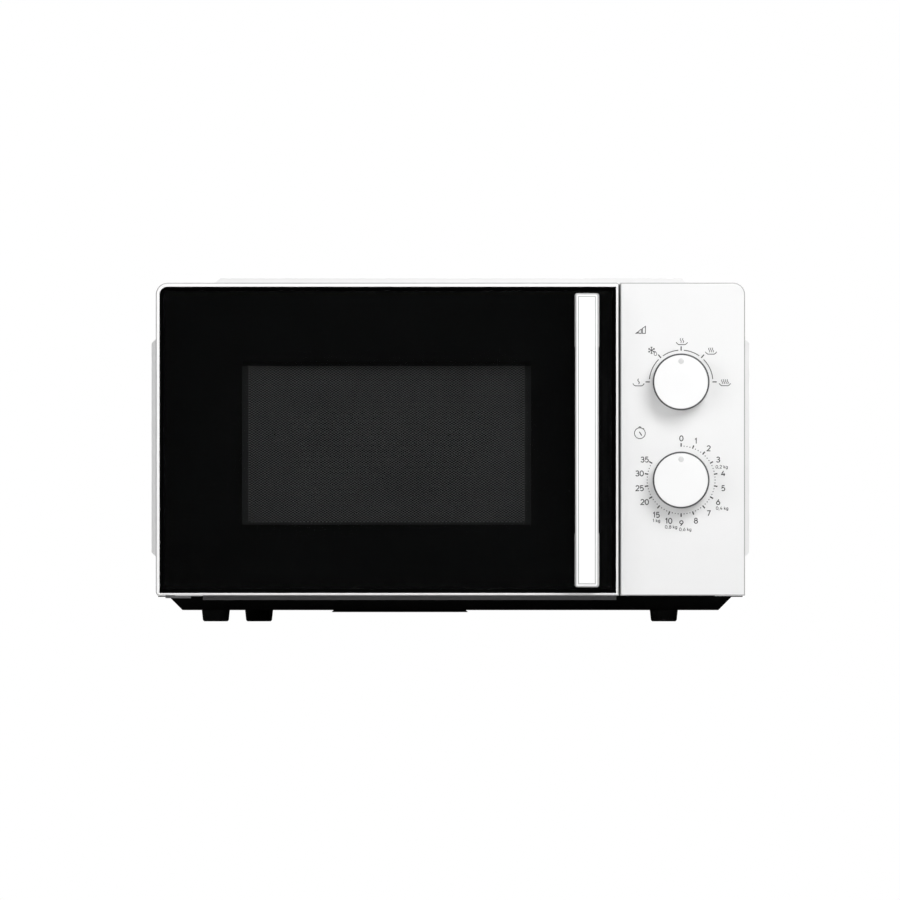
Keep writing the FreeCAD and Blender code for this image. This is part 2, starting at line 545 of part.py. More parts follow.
def motor_cover():
    """Removable cover under the turntable motor."""
    cover = body("motor_cover")
    pad(cover, "motor_cover_block", "XY_Plane", "base_low", "motor_cover_low",
        rect("motor_cover_left", "motor_cover_right", "motor_cover_front", "motor_cover_back"),
        taper=EDGE_DRAFT, downwards=True)
    pocket(cover, "motor_cover_hollow", "XY_Plane", "base_low", "motor_cover_low + motor_cover_floor",
           rect("motor_cover_left + motor_cover_flange", "motor_cover_right - motor_cover_flange",
                "motor_cover_front + motor_cover_flange", "motor_cover_back - motor_cover_flange"),
           downwards=True)
    return finish(cover, "motor_cover")


def feet():
    """Four turned feet, each with a stem through the base."""
    for name in FOOT_PLACES:
        foot = body(name)
        lathe(foot, name + "_turned", [
            ("0", "0"), ("foot_tread - foot_chamfer", "0"), ("foot_tread", "foot_chamfer"),
            ("foot_top", "base_low"), ("foot_stem", "base_low"),
            ("foot_stem", "base_low + foot_stem_height"), ("0", "base_low + foot_stem_height")])
        bind(foot, PX=name + "_across", PY=name + "_along")
        finish(foot, name)


# ---------------------------------------------------------------- cavity and front
def cavity():
    """Enamelled oven cavity: five walls, floor hole, track, air holes and the microwave inlet."""
    outer = box("cavity_outer", "cavity_left - sheet", "cavity_right + sheet", "frame_front + sheet",
                "cavity_back + sheet", "cavity_floor - sheet", "cavity_top + sheet")
    inner = box("cavity_inner", "cavity_left", "cavity_right", "frame_front - over", "cavity_back",
                "cavity_floor", "cavity_top")

    def long_edge(edge):
        return along(edge, "Y")

    shell = cut("cavity_shell", round_edges("cavity_outer_round", outer, "cavity_round", long_edge),
                round_edges("cavity_inner_round", inner, "cavity_round", long_edge))
    tools = [rod("floor_hole"), block("guide_opening")]
    for name, (wall, *_) in HOLE_FIELDS.items():
        for row in range(HOLE_ROWS):
            for column in range(HOLE_COLUMNS):
                place = "%s_first_y + %d * %s_pitch_y" % (name, column, name)
                height = "%s_first_z + %d * %s_pitch_z" % (name, row, name)
                tools.append(cylinder("%s_%d_%d" % (name, row, column), "X", place, height, name + "_radius",
                                      wall + " - 1", wall + " + 1"))
    return finish(cut("cavity", shell, *tools), "cavity")


def waveguide_cover():
    return finish(block("mica_sheet"), "waveguide_cover")


def front_frame():
    """Front plate round the cavity mouth, with its latch slots and the service window."""
    frame = body("front_frame")
    mouth = rect("cavity_left", "cavity_right", "cavity_floor", "cavity_top")
    pad(frame, "frame_plate", "XZ_Plane", "frame_front", "frame_front + sheet",
        rect("-case_side + sheet + fit_gap", "case_side - sheet - fit_gap", "case_low",
             "case_top - sheet - fit_gap"))
    soften(frame, "frame_round", "plate_round",
           lambda edge: along(edge, "Y") and edge.CenterOfMass.z > size("case_top") - 5)
    pocket(frame, "frame_mouth", "XZ_Plane", "frame_front - over", "frame_front + over", mouth)
    soften(frame, "mouth_round", "cavity_round",
           lambda edge: along(edge, "Y")
           and size("cavity_left") - 1 < edge.CenterOfMass.x < size("cavity_right") + 1
           and size("cavity_floor") - 1 < edge.CenterOfMass.z < size("cavity_top") + 1)
    for name in ("service_window", "upper_slot", "latch_slot_high", "latch_slot_low"):
        pocket(frame, name, "XZ_Plane", "frame_front - over", "frame_front + over",
               rect(name + "_left", name + "_right", name + "_low", name + "_high"))
    pad(frame, "frame_return", "XZ_Plane", "frame_return_front", "frame_return_back",
        rect("frame_return_left", "frame_return_right", "frame_return_low", "frame_return_high"))
    return finish(frame, "front_frame")


def front_sill():
    """Grooved steel sill under the door, hung on the back of the front frame."""
    whole = fuse("sill_solid", block("sill_nose"), block("sill_tab"))
    return finish(cut("front_sill", whole, block("sill_groove")), "front_sill")


def hinges():
    """Two fixed hinge plates, each with its pin."""
    finish(fuse("hinge_lower", block("hinge_foot"), block("hinge_leg"), rod("pin_lower")), "hinge_lower")
    finish(fuse("hinge_upper", block("hinge_arm"), block("hinge_hook"), rod("pin_upper")), "hinge_upper")


def interlock():
    """Bracket, three door switches and their plungers."""
    finish(fuse("interlock_bracket", block("bracket_web"), block("bracket_foot")), "interlock_bracket")
    switches = [cut("door_switch_" + name, block("switch_" + name), rod("plunger_bore_" + name))
                for name in ("high", "mid", "low")]
    finish(fuse("door_switches", *switches), "door_switches")
    finish(fuse("switch_plungers", rod("plunger_high"), rod("plunger_mid"), rod("plunger_low")),
           "switch_plungers")


# ---------------------------------------------------------------- door
def door_frame():
    """Moulded door frame: front rim, ledge for the glass, side walls and hinge bosses."""
    frame = body("door_frame")
    pad(frame, "door_block", "XZ_Plane", "front", "door_back",
        rect("door_left", "door_right", "front_low", "front_high"))
    soften(frame, "door_corner", "corner_round",
           lambda edge: along(edge, "Y") and near(edge.CenterOfMass.x, size("door_left"))
           and near(edge.CenterOfMass.z, size("front_high")))
    soften(frame, "door_small_corners", "door_ledge",
           lambda edge: along(edge, "Y")
           and near(edge.CenterOfMass.x, size("door_left")) and near(edge.CenterOfMass.z, size("front_low")))
    soften(frame, "door_latch_corner", "latch_corner_round",
           lambda edge: along(edge, "Y") and near(edge.CenterOfMass.x, size("door_right"))
           and near(edge.CenterOfMass.z, size("front_high")))
    pocket(frame, "glass_seat", "XZ_Plane", "front - over", "front + glass_depth",
           rect("glass_left", "glass_right", "glass_low", "glass_high"))
    soften(frame, "glass_seat_corner", "corner_round - door_ledge",
           lambda edge: along(edge, "Y") and near(edge.CenterOfMass.x, size("glass_left"))
           and near(edge.CenterOfMass.z, size("glass_high")))
    soften(frame, "door_front_edges", "edge_round",
           lambda edge: near(edge.BoundBox.YMin, size("front")) and near(edge.BoundBox.YMax, size("front"))
           and (near(edge.BoundBox.XMin, size("door_left")) or near(edge.BoundBox.XMax, size("door_right"))
                or near(edge.BoundBox.ZMin, size("front_low"))
                or near(edge.BoundBox.ZMax, size("front_high"))))
    pocket(frame, "door_inside", "XZ_Plane", "front + over", "door_back + over",
           rect("glass_left + door_ledge", "glass_right - door_ledge", "glass_low + door_ledge",
                "glass_high - door_ledge"))
    whole = fuse("door_frame_whole", frame, block("boss_lower"), block("boss_upper"), block("spring_shelf"))
    corner = cut("hinge_corner",
                 box("hinge_corner_block", "door_left - over", "hinge_x", "door_back - hinge_clear",
                     "door_back + over", "front_low - over", "front_high + over"),
                 cylinder("hinge_corner_round", "Z", "hinge_x", "door_back - hinge_clear", "hinge_clear",
                          "front_low - 2 * over", "front_high + 2 * over"))
    shaped = cut("door_frame_shaped", whole, corner, block("hinge_relief"), rod("bore_lower"),
                 rod("bore_upper"))
    frame.Label = "door_frame_moulding"
    return finish(shaped, "door_frame")


def door_glass():
    """Front glass, with clearance holes for the handle screws."""
    glass = body("door_glass")
    pad(glass, "glass_block", "XZ_Plane", "front", "front + glass_depth",
        rect("glass_left + fit_gap", "glass_right - fit_gap", "glass_low + fit_gap", "glass_high - fit_gap"))
    soften(glass, "glass_corner", "corner_round - door_ledge",
           lambda edge: along(edge, "Y") and edge.CenterOfMass.x < size("glass_left") + 1
           and edge.CenterOfMass.z > size("glass_high") - 1)
    middle = "(handle_left + handle_right) / 2"
    pocket(glass, "glass_holes", "XZ_Plane", "front - over", "front + glass_depth + over",
           *[(middle, str(height), "glass_screw_hole") for height in HANDLE_SCREWS])
    return finish(glass, "door_glass")


def door_inner():
    """Screen sheet, choke channel and the plastic cover that hides it."""
    middle = "(handle_left + handle_right) / 2"
    holes = [cylinder("door_hole_%d" % i, "Y", middle, str(height), "screen_screw_hole",
                      "screen_plate_front - over", "choke_front + over")
             for i, height in enumerate(HANDLE_SCREWS)]
    finish(cut("door_screen", block("screen_plate"), *holes), "door_screen")
    ring = cut("choke_ring", block("choke_outer"), block("choke_inner"))
    groove = cut("choke_groove", block("choke_groove_out"), block("choke_groove_in"))
    finish(cut("door_choke", ring, groove, *holes), "door_choke")
    lip = fuse("choke_cover_solid", block("choke_cover_plate"), block("choke_cover_lip"))
    window = box("choke_cover_opening", "choke_cover_window_left", "choke_cover_window_right",
                 "choke_front", "door_back + over", "choke_cover_window_low", "choke_cover_window_high")
    finish(cut("choke_cover", lip, window, block("cover_latch_high"), block("cover_latch_low"),
               block("cover_hinge_cut")), "choke_cover")


def handle():
    """Upright pull handle: a bar on two legs that flare a little towards the glass."""
    grip = body("handle_grip")
    pad(grip, "handle_bar", "YZ_Plane", "handle_left", "handle_right", [
        ("handle_front", "handle_low"), ("front", "handle_low"), ("front", "handle_low + handle_leg"),
        ("handle_front + handle_depth", "handle_low + handle_leg"),
        ("handle_front + handle_depth", "handle_high - handle_leg"), ("front", "handle_high - handle_leg"),
        ("front", "handle_high"), ("handle_front", "handle_high")])
    soften(grip, "handle_corners", "handle_round",
           lambda edge: edge.BoundBox.YMax < size("handle_front") + 0.1
           or (along(edge, "Y") and (edge.CenterOfMass.z > size("handle_high") - 0.1
                                     or edge.CenterOfMass.z < size("handle_low") + 0.1)))
    legs = []
    for name, outer, low, high in (("handle_foot_low", "handle_low", "handle_low", "handle_low + handle_leg"),
                                   ("handle_foot_high", "handle_high", "handle_high - handle_leg",
                                    "handle_high")):
        leg = box(name, "handle_left - handle_flare", "handle_right + handle_flare",
                  "handle_front + handle_depth", "front", low, high)
        legs.append(round_edges(name + "_round", leg, "handle_round",
                                lambda edge: along(edge, "Y") and near(edge.CenterOfMass.z, size(outer))))
    pilots = [cylinder("handle_pilot_%d" % i, "Y", "(handle_left + handle_right) / 2", str(height),
                       "handle_pilot", "front - handle_pilot_depth", "front + over")
              for i, height in enumerate(HANDLE_SCREWS)]
    return finish(cut("handle", fuse("handle_solid", grip, *legs), *pilots), "handle")


def handle_screws():
    """Two screws from behind the choke channel into the handle."""
    screws = []
    for i, height in enumerate(HANDLE_SCREWS):
        middle = "(handle_left + handle_right) / 2"
        screws.append(cylinder("handle_screw_%d" % i, "Y", middle, str(height), "handle_screw",
                               "front - handle_screw_reach", "choke_front + over"))
        screws.append(cylinder("handle_head_%d" % i, "Y", middle, str(height), "handle_screw_head",
                               "choke_front + sheet", "choke_front + sheet + handle_head_height"))
    return finish(fuse("handle_screws", *screws), "handle_screws")


def latch():
    """Latch key with two hooks, and the spring that holds it down."""
    finish(fuse("latch_key", block("latch_bar"), block("latch_arm_high"), block("latch_barb_high"),
                block("latch_arm_low"), block("latch_tip_low")), "latch_key")
    coil = doc.addObject("Part::Helix", "spring_line")
    bind(coil, Pitch="spring_pitch", Height="spring_length", Radius="spring_radius")
    wire = doc.addObject("Part::Circle", "spring_section")
    wire.Placement = Placement(Vector(), Rotation(Vector(1, 0, 0), 90))
    bind(wire, Radius="spring_wire", PX="spring_radius")
    spring = doc.addObject("Part::Sweep", "latch_spring")
    spring.Sections = [wire]
    spring.Spine = (coil, [])
    spring.Solid = True
    spring.Frenet = True
    bind(spring, PX="(latch_bar_left + latch_bar_right) / 2", PY="(latch_bar_front + latch_bar_back) / 2",
         PZ="latch_bar_high + spring_lift")
    finish(spring, "latch_spring")


# ---------------------------------------------------------------- control panel
def control_panel():
    """Moulded control panel, open at the back, with two shaft holes."""
    panel = body("control_panel")
    pad(panel, "panel_block", "XZ_Plane", "front", "panel_back",
        rect("panel_left", "panel_right", "front_low", "front_high"))
    soften(panel, "panel_corner", "corner_round",
           lambda edge: along(edge, "Y") and near(edge.CenterOfMass.x, size("panel_right"))
           and near(edge.CenterOfMass.z, size("front_high")))
    soften(panel, "panel_edges", "edge_round",
           lambda edge: near(edge.BoundBox.YMin, size("front")) and near(edge.BoundBox.YMax, size("front")))
    pocket(panel, "panel_inside", "XZ_Plane", "front + panel_wall", "panel_back + over",
           arch("panel_left + panel_wall", "panel_right - panel_wall", "front_low + panel_wall",
                "front_high - panel_wall", "panel_side_chamfer", "inner_chamfer"))
    pocket(panel, "panel_holes", "XZ_Plane", "front - over", "front + panel_wall + over",
           ("knob_x", "power_z", "panel_hole"), ("knob_x", "timer_z", "panel_hole"))
    pad(panel, "panel_posts", "XZ_Plane", "front + panel_wall - panel_post_root", "timer_plate_front",
        *[(str(across), str(up), "panel_post") for across, up in PANEL_POSTS])
    return finish(panel, "control_panel")


def knob(label, height):
    """Hollow turned knob with a raised dot near its rim."""
    turned = body(label)
    lathe(turned, label + "_turned", [
        ("shaft + bore_gap", "0"), ("knob_hub", "0"), ("knob_hub", "knob_height - knob_wall"),
        ("knob_radius - knob_wall", "knob_height - knob_wall"), ("knob_radius - knob_wall", "0"),
        ("knob_radius", "0"), ("knob_radius - knob_draft", "knob_height - knob_rim"),
        ("knob_face", "knob_height"), ("0", "knob_height"), ("0", "knob_height - knob_web"),
        ("shaft + bore_gap", "knob_height - knob_web")])
    pad(turned, label + "_dot", "XY_Plane", "knob_height - knob_dot_height", "knob_height + knob_dot_height",
        ("0", "knob_dot", "knob_dot_radius"))
    top = size("knob_height") + size("knob_dot_height")
    soften(turned, label + "_dot_round", "knob_dot_round",
           lambda edge: near(edge.BoundBox.ZMin, top) and near(edge.BoundBox.ZMax, top))
    turned.Placement = Placement(Vector(), Rotation(Vector(1, 0, 0), 90))
    bind(turned, PX="knob_x", PY="front - knob_lift", PZ=height)
    return finish(turned, label)


def shaft(label, height):
    """Shaft with a flat, from the timer unit into the knob."""
    whole = cylinder(label + "_round", "Y", "knob_x", height, "shaft", "front - knob_lift - shaft_out",
                     "front + shaft_in")
    flat = box(label + "_flat", "knob_x + shaft_flat", "knob_x + shaft + over",
               "front - knob_lift - shaft_out - over", "front - shaft_flat_end", height + " - shaft - over",
               height + " + shaft + over")
    return finish(cut(label, whole, flat), label)


def timer():
    """Clockwork timer with its bell, behind the panel."""
    case = fuse("timer_solid", block("timer_case"), block("timer_plate"), rod("power_boss"),
                rod("timer_boss"), rod("timer_motor"))
    finish(cut("timer_unit", case, rod("power_bore"), rod("timer_bore")), "timer_unit")
    bell = fuse("bell_solid", rod("bell_dome"), rod("bell_rim"))
    cup = cut("bell_cup", bell, rod("bell_hollow"))
    finish(fuse("timer_bell", cup, rod("timer_bell_post")), "timer_bell")


# ---------------------------------------------------------------- turntable
def turntable():
    """Motor, three-lobed coupler, glass tray and roller ring with three wheels."""
    can = fuse("motor_solid", rod("motor_can"), block("motor_flange"))
    finish(cut("turntable_motor", can, rod("motor_bore")), "turntable_motor")

    lobes = []
    for i in range(LOBE_COUNT):
        lobe = box("coupler_lobe_%d" % i, "0", "lobe_reach", "-lobe_half", "lobe_half",
                   "coupler_hub_start + lobe_lift", "coupler_hub_end")
        angle = i * 360.0 / LOBE_COUNT
        spin = Rotation(Vector(0, 0, 1), angle)
        lobes.append(moved("coupler_arm_%d" % i, lobe, (size("spin_x"), size("spin_y"), 0), spin))
    finish(fuse("drive_coupler", rod("coupler_shaft"), rod("coupler_hub"), *lobes), "drive_coupler")

    tray = body("glass_tray")
    lathe(tray, "tray_turned", [
        ("0", "0"), ("tray_base", "0"), ("tray_shoulder", "tray_step"), ("tray_radius", "tray_lip"),
        ("tray_radius", "tray_rim"), ("tray_radius - tray_rim_width", "tray_rim"),
        ("tray_slope", "tray_dish"), ("tray_base", "tray_glass"), ("0", "tray_glass")])
    pegs = []
    for i in range(LOBE_COUNT):
        angle = "%g * 1deg" % (PEG_TURN + i * 360.0 / LOBE_COUNT)
        pegs.append(("peg_circle * cos(%s)" % angle, "peg_circle * sin(%s)" % angle, "peg_radius"))
    pad(tray, "tray_pegs", "XY_Plane", "-peg_length", "peg_root", *pegs)
    bind(tray, PX="spin_x", PY="spin_y", PZ="tray_low")
    finish(tray, "glass_tray")

    middle = "cavity_floor + wheel_lift + wheel_radius"
    hoop = cut("ring_hoop",
               cylinder("ring_disc", "Z", "spin_x", "spin_y", "ring_outer", middle + " - ring_half",
                        middle + " + ring_half"),
               cylinder("ring_hole", "Z", "spin_x", "spin_y", "ring_inner", middle + " - ring_half - over",
                        middle + " + ring_half + over"))
    axles = []
    for i in range(LOBE_COUNT):
        angle = i * 360.0 / LOBE_COUNT
        spin = Rotation(Vector(0, 0, 1), angle)
        axle = cylinder("axle_line_%d" % i, "X", "0", "0", "axle", "ring_outer - axle_root",
                        "wheel_track + axle_end")
        lift = size("cavity_floor") + size("wheel_lift") + size("wheel_radius")
        place = (size("spin_x"), size("spin_y"), lift)
        axles.append(moved("ring_axle_%d" % i, axle, place, spin))
        wheel = cut("wheel_%d" % i,
                    cylinder("wheel_disc_%d" % i, "X", "0", "0", "wheel_radius",
                             "wheel_track - wheel_width / 2", "wheel_track + wheel_width / 2"),
                    cylinder("wheel_bore_%d" % i, "X", "0", "0", "axle + bore_gap",
                             "wheel_track - wheel_width", "wheel_track + wheel_width"))
        finish(moved("roller_wheel_%d" % (i + 1), wheel, place, spin), "roller_wheel_%d" % (i + 1))
    finish(fuse("roller_ring", hoop, *axles), "roller_ring")


# ---------------------------------------------------------------- microwave source and power
def magnetron():
    """Waveguide, magnetron yoke with its filter box, and the finned tube with its antenna."""
    guide = cut("guide_shell", block("guide_outer"), block("guide_hollow"), rod("antenna_hole"))
    finish(guide, "waveguide")
    yoke = cut("yoke_shell", block("yoke_outer"), block("yoke_hollow"), rod("antenna_hole"))
    finish(fuse("magnetron_yoke", yoke, block("filter_box")), "magnetron_yoke")
    fins = []
    for i in range(FIN_COUNT):
        left = "fin_left + %d * fin_pitch" % i
        fins.append(box("fin_%d" % i, left, left + " + fin_sheet", "fin_front", "fin_back", "fin_low",
                        "fin_high"))
    finish(fuse("magnetron_tube", rod("anode"), rod("antenna"), *fins), "magnetron_tube")


def power_supply():
    """High-voltage transformer, capacitor with its clamp, diode and the mains filter board."""
    finish(fuse("transformer_core", cut("core_shell", block("core_outer"), block("core_window")),
                block("core_leg")), "transformer_core")
    rounded = round_edges("winding_round", block("winding_outer"), "corner_round",
                          lambda edge: along(edge, "Z"))
    finish(cut("transformer_windings", rounded, block("winding_hollow")), "transformer_windings")
    can = round_edges("capacitor_round", block("capacitor_can"), "corner_round",
                      lambda edge: along(edge, "X"))
    finish(can, "capacitor")

    def upper_edge(edge):
        return along(edge, "X") and edge.CenterOfMass.z > size("capacitor_can_high") - 1

    outer = round_edges("clamp_round", block("clamp_outer"), "corner_round", upper_edge)
    inner = round_edges("clamp_round_inside", block("clamp_inner"), "corner_round", upper_edge)
    finish(cut("capacitor_clamp", outer, inner), "capacitor_clamp")
    finish(block("diode_body"), "hv_diode")
    board = fuse("board_solid", block("board_plate"), block("board_coil_base"), rod("board_coil"),
                 block("board_capacitor"), block("board_fuse"))
    finish(board, "filter_board")


def cooling():
    """Fan shroud, fan motor, five-bladed fan and the air duct to the cavity."""
    shroud = cut("fan_shroud", fuse("shroud_solid", block("shroud_plate"), rod("shroud_ring")),
                 rod("shroud_hole"))
    finish(shroud, "fan_shroud")
    stack = cut("fan_motor", fuse("fan_motor_solid", block("fan_stack"), block("fan_strap"),
                                  block("fan_leg_left"), block("fan_leg_right")), rod("fan_bore"))
    finish(stack, "fan_motor")
    blades = []
    for i in range(BLADE_COUNT):
        blade = box("fan_vane_%d" % i, "vane_root", "vane_tip", "-vane_half_sheet", "vane_half_sheet",
                    "-vane_half_width", "vane_half_width")
        pitched = moved("fan_pitch_%d" % i, blade, (0, 0, 0), Rotation(Vector(1, 0, 0), BLADE_PITCH))
        spin = Rotation(Vector(0, 1, 0), i * 360.0 / BLADE_COUNT)
        middle = (size("fan_x"), size("fan_middle"), size("fan_z"))
        blades.append(moved("fan_arm_%d" % i, pitched, middle, spin))
    finish(fuse("fan_blade", rod("fan_shaft"), rod("fan_hub"), *blades), "fan_blade")
    finish(cut("air_duct", block("duct_outer"), block("duct_hollow")), "air_duct")


def small_parts():
    """Lamp, thermostats, cord gland and the screws of the case."""
    finish(fuse("lamp_holder", block("lamp_bracket"), rod("lamp_socket")), "lamp_holder")
    bulb = doc.addObject("Part::Ellipsoid", "bulb_glass")
    bulb.Placement = Placement(Vector(), Rotation(Vector(0, 1, 0), 90))
    bind(bulb, Radius1="bulb_long", Radius2="bulb_round", PX="bulb_x", PY="bulb_y", PZ="bulb_z")
    finish(fuse("oven_lamp", rod("lamp_neck"), bulb), "oven_lamp")
    finish(fuse("thermostats", rod("thermostat_side"), rod("thermostat_top")), "thermostats")
    gland = fuse("gland_solid", block("gland_flange"), rod("gland_body"))
    finish(cut("cord_gland", gland, rod("gland_bore")), "cord_gland")
    screws = []
    for i, (across, up) in enumerate(CASE_SCREWS):
        screws.append(cylinder("case_screw_%d" % i, "Y", str(across), str(up), "case_screw",
                               "case_back - case_screw_reach", "case_back + sheet + case_head_height / 2"))
        screws.append(cylinder("case_head_%d" % i, "Y", str(across), str(up), "case_screw_head",
                               "case_back + sheet", "case_back + sheet + case_head_height"))
    finish(fuse("case_screws", *screws), "case_screws")


def wiring():
    """Insulated leads: straight runs with a round corner piece at each turn."""
    pieces = []
    for lead, points in LEAD_ROUTES.items():
        for i, (first, second) in enumerate(zip(points, points[1:])):
            start, end = Vector(*first), Vector(*second)
            run = doc.addObject("Part::Cylinder", "%s_run_%d" % (lead, i))
            bind(run, Radius="lead_radius")
            run.Height = (end - start).Length
            run.Placement = Placement(start, Rotation(Vector(0, 0, 1), end - start))
            pieces.append(run)
            if i:
                corner = doc.addObject("Part::Sphere", "%s_corner_%d" % (lead, i))
                bind(corner, Radius="lead_radius")
                corner.Placement.Base = start
                pieces.append(corner)
    finish(fuse("wiring", *pieces), "wiring")


def write_parts():
    """Check every object and sub-part, then write one STEP file for each sub-part."""
    doc.recompute()
    for obj in doc.Objects:
        if "Invalid" in obj.State or "Error" in obj.State:
            raise ValueError("%s is %s" % (obj.Label, obj.State))
    os.makedirs("parts", exist_ok=True)
    for obj in SUB_PARTS:
        if obj.Shape.isNull() or not obj.Shape.isValid():
            raise ValueError("%s has a bad shape" % obj.Label)
        obj.Shape.exportStep("parts/%s.step" % obj.Label)
        print("%-22s %2d solids %10.1f mm3" % (obj.Label, len(obj.Shape.Solids), obj.Shape.Volume))
    print(len(SUB_PARTS), "sub-parts")


for build in (outer_cover, rear_panel, base_plate, motor_cover, feet, cavity, waveguide_cover, front_frame,
              front_sill, hinges, interlock, door_frame, door_glass, door_inner, handle, handle_screws, latch,
              control_panel, timer, turntable, magnetron, power_supply, cooling, small_parts, wiring):
    build()
knob("power_knob", "power_z")
knob("timer_knob", "timer_z")
shaft("power_shaft", "power_z")
shaft("timer_shaft", "timer_z")
write_parts()
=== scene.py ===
import bmesh
import bpy
import math
from mathutils import Matrix, Vector


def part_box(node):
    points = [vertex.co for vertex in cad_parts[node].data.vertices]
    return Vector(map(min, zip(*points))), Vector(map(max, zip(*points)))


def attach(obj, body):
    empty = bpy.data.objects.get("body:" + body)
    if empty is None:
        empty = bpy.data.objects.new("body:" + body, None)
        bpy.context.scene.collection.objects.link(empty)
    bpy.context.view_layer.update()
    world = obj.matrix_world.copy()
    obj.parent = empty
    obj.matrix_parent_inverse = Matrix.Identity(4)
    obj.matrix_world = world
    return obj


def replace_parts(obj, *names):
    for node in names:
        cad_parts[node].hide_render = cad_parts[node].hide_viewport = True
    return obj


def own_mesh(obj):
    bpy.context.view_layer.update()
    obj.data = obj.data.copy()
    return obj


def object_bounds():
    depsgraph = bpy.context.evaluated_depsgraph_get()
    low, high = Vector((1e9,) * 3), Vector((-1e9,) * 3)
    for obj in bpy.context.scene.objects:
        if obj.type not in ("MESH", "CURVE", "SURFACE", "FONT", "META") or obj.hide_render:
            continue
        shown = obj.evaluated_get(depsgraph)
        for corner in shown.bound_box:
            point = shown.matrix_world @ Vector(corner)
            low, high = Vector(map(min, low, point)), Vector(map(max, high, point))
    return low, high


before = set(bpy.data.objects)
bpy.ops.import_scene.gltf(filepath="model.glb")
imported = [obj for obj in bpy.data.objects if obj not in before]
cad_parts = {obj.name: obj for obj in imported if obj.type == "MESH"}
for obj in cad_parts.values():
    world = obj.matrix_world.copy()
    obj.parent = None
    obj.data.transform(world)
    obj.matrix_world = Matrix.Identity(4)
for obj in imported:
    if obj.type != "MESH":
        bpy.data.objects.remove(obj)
CAD_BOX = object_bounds()
MM = 0.001


# ---------------------------------------------------------------- places, read from the frame
def span(node):
    """The lowest and highest corner of a CAD node."""
    low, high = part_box(node)
    return Vector(low), Vector(high)


GLASS_LOW, GLASS_HIGH = span("door_glass")
SCREEN_LOW, SCREEN_HIGH = span("door_screen")
FRONT_Y = span("control_panel")[0].y


# ---------------------------------------------------------------- mesh tools
def piece(name, mesh, body, material, smooth_angle=35.0):
    """Put a mesh into the scene as a piece of the oven that rides on a body."""
    obj = bpy.data.objects.new(name, mesh)
    bpy.context.scene.collection.objects.link(obj)
    mesh.materials.clear()
    mesh.materials.append(material)
    mesh.shade_smooth()
    mesh.set_sharp_from_angle(angle=math.radians(smooth_angle))
    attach(obj, body)
    return obj


def mesh_of(bm, name):
    """Clean up a bmesh and turn it into a mesh."""
    bmesh.ops.remove_doubles(bm, verts=bm.verts, dist=1e-7)
    bmesh.ops.recalc_face_normals(bm, faces=bm.faces)
    mesh = bpy.data.meshes.new(name)
    bm.to_mesh(mesh)
    bm.free()
    return mesh


def rounded(corners, steps=5):
    """Outline through (x, y, radius) corners, with an arc of that radius at each one."""
    outline = []
    count = len(corners)
    for i, (x, y, radius) in enumerate(corners):
        here = Vector((x, y))
        before = Vector(corners[i - 1][:2]) - here
        after = Vector(corners[(i + 1) % count][:2]) - here
        if radius <= 0:
            outline.append(here)
            continue
        half = before.angle(after) / 2
        reach = radius / math.tan(half)
        centre = here + (before.normalized() + after.normalized()).normalized() * (radius / math.sin(half))
        start = here + before.normalized() * reach - centre
        end = here + after.normalized() * reach - centre
        turn = start.angle_signed(end)
        for step in range(steps + 1):
            spun = Matrix.Rotation(-turn * step / steps, 2) @ start
            outline.append(centre + spun)
    return outline


def lathe(bm, profile, place, segments=96):
    """Turn a closed (radius, height) profile about the Z axis of the matrix place."""
    rings = []
    for radius, height in profile:
        if radius < 1e-7:
            rings.append([bm.verts.new(place @ Vector((0, 0, height)))])
            continue
        rings.append([bm.verts.new(place @ Vector((radius * math.cos(2 * math.pi * i / segments),
                                                   radius * math.sin(2 * math.pi * i / segments), height)))
                      for i in range(segments)])
    for first, second in zip(rings, rings[1:] + rings[:1]):
        if len(first) == 1 and len(second) == 1:
            continue
        for i in range(segments):
            j = (i + 1) % segments
            corners = [first[i % len(first)], first[j % len(first)], second[j % len(second)],
                       second[i % len(second)]]
            unique = list(dict.fromkeys(corners))
            if len(unique) > 2:
                bm.faces.new(unique)


def prism(bm, outline, place, low, high):
    """Closed prism: an outline in the XY plane of the matrix place, from low to high along its Z."""
    bottom = [bm.verts.new(place @ Vector((p[0], p[1], low))) for p in outline]
    top = [bm.verts.new(place @ Vector((p[0], p[1], high))) for p in outline]
    bm.faces.new(bottom[::-1])
    bm.faces.new(top)
    count = len(outline)
    for i in range(count):
        j = (i + 1) % count
        bm.faces.new((bottom[i], bottom[j], top[j], top[i]))


def ribbon(bm, points, width, place, low, high, closed=False):
    """Flat line of an even width through 2D points, with a small thickness."""
    count = len(points)
    left, right = [], []
    for i in range(count):
        here = Vector(points[i])
        before = here - Vector(points[i - 1]) if (i or closed) else None
        after = Vector(points[(i + 1) % count]) - here if (i < count - 1 or closed) else None
        first, second = (before or after).normalized(), (after or before).normalized()
        middle = (first + second).normalized()
        side = Vector((-middle.y, middle.x)) * (width / 2) / max(middle.dot(second), 0.45)
        left.append(here + side)
        right.append(here - side)
    stretches = range(count if closed else count - 1)
    levels = {}
    for key, line in (("l", left), ("r", right)):
        for level in (low, high):
            levels[key, level] = [bm.verts.new(place @ Vector((p[0], p[1], level))) for p in line]
    sides = [levels["l", low], levels["l", high], levels["r", high], levels["r", low]]
    for i in stretches:
        j = (i + 1) % count
        for first, second in zip(sides, sides[1:] + sides[:1]):
            bm.faces.new((first[i], first[j], second[j], second[i]))
    if not closed:
        bm.faces.new([side[0] for side in sides])
        bm.faces.new([side[-1] for side in sides[::-1]])


def skin(bm, rings):
    """Closed skin over rings with equal numbers of vertices."""
    count = len(rings[0])
    for first, second in zip(rings, rings[1:]):
        for i in range(count):
            j = (i + 1) % count
            bm.faces.new((first[i], first[j], second[j], second[i]))
    bm.faces.new(rings[0][::-1])
    bm.faces.new(rings[-1])


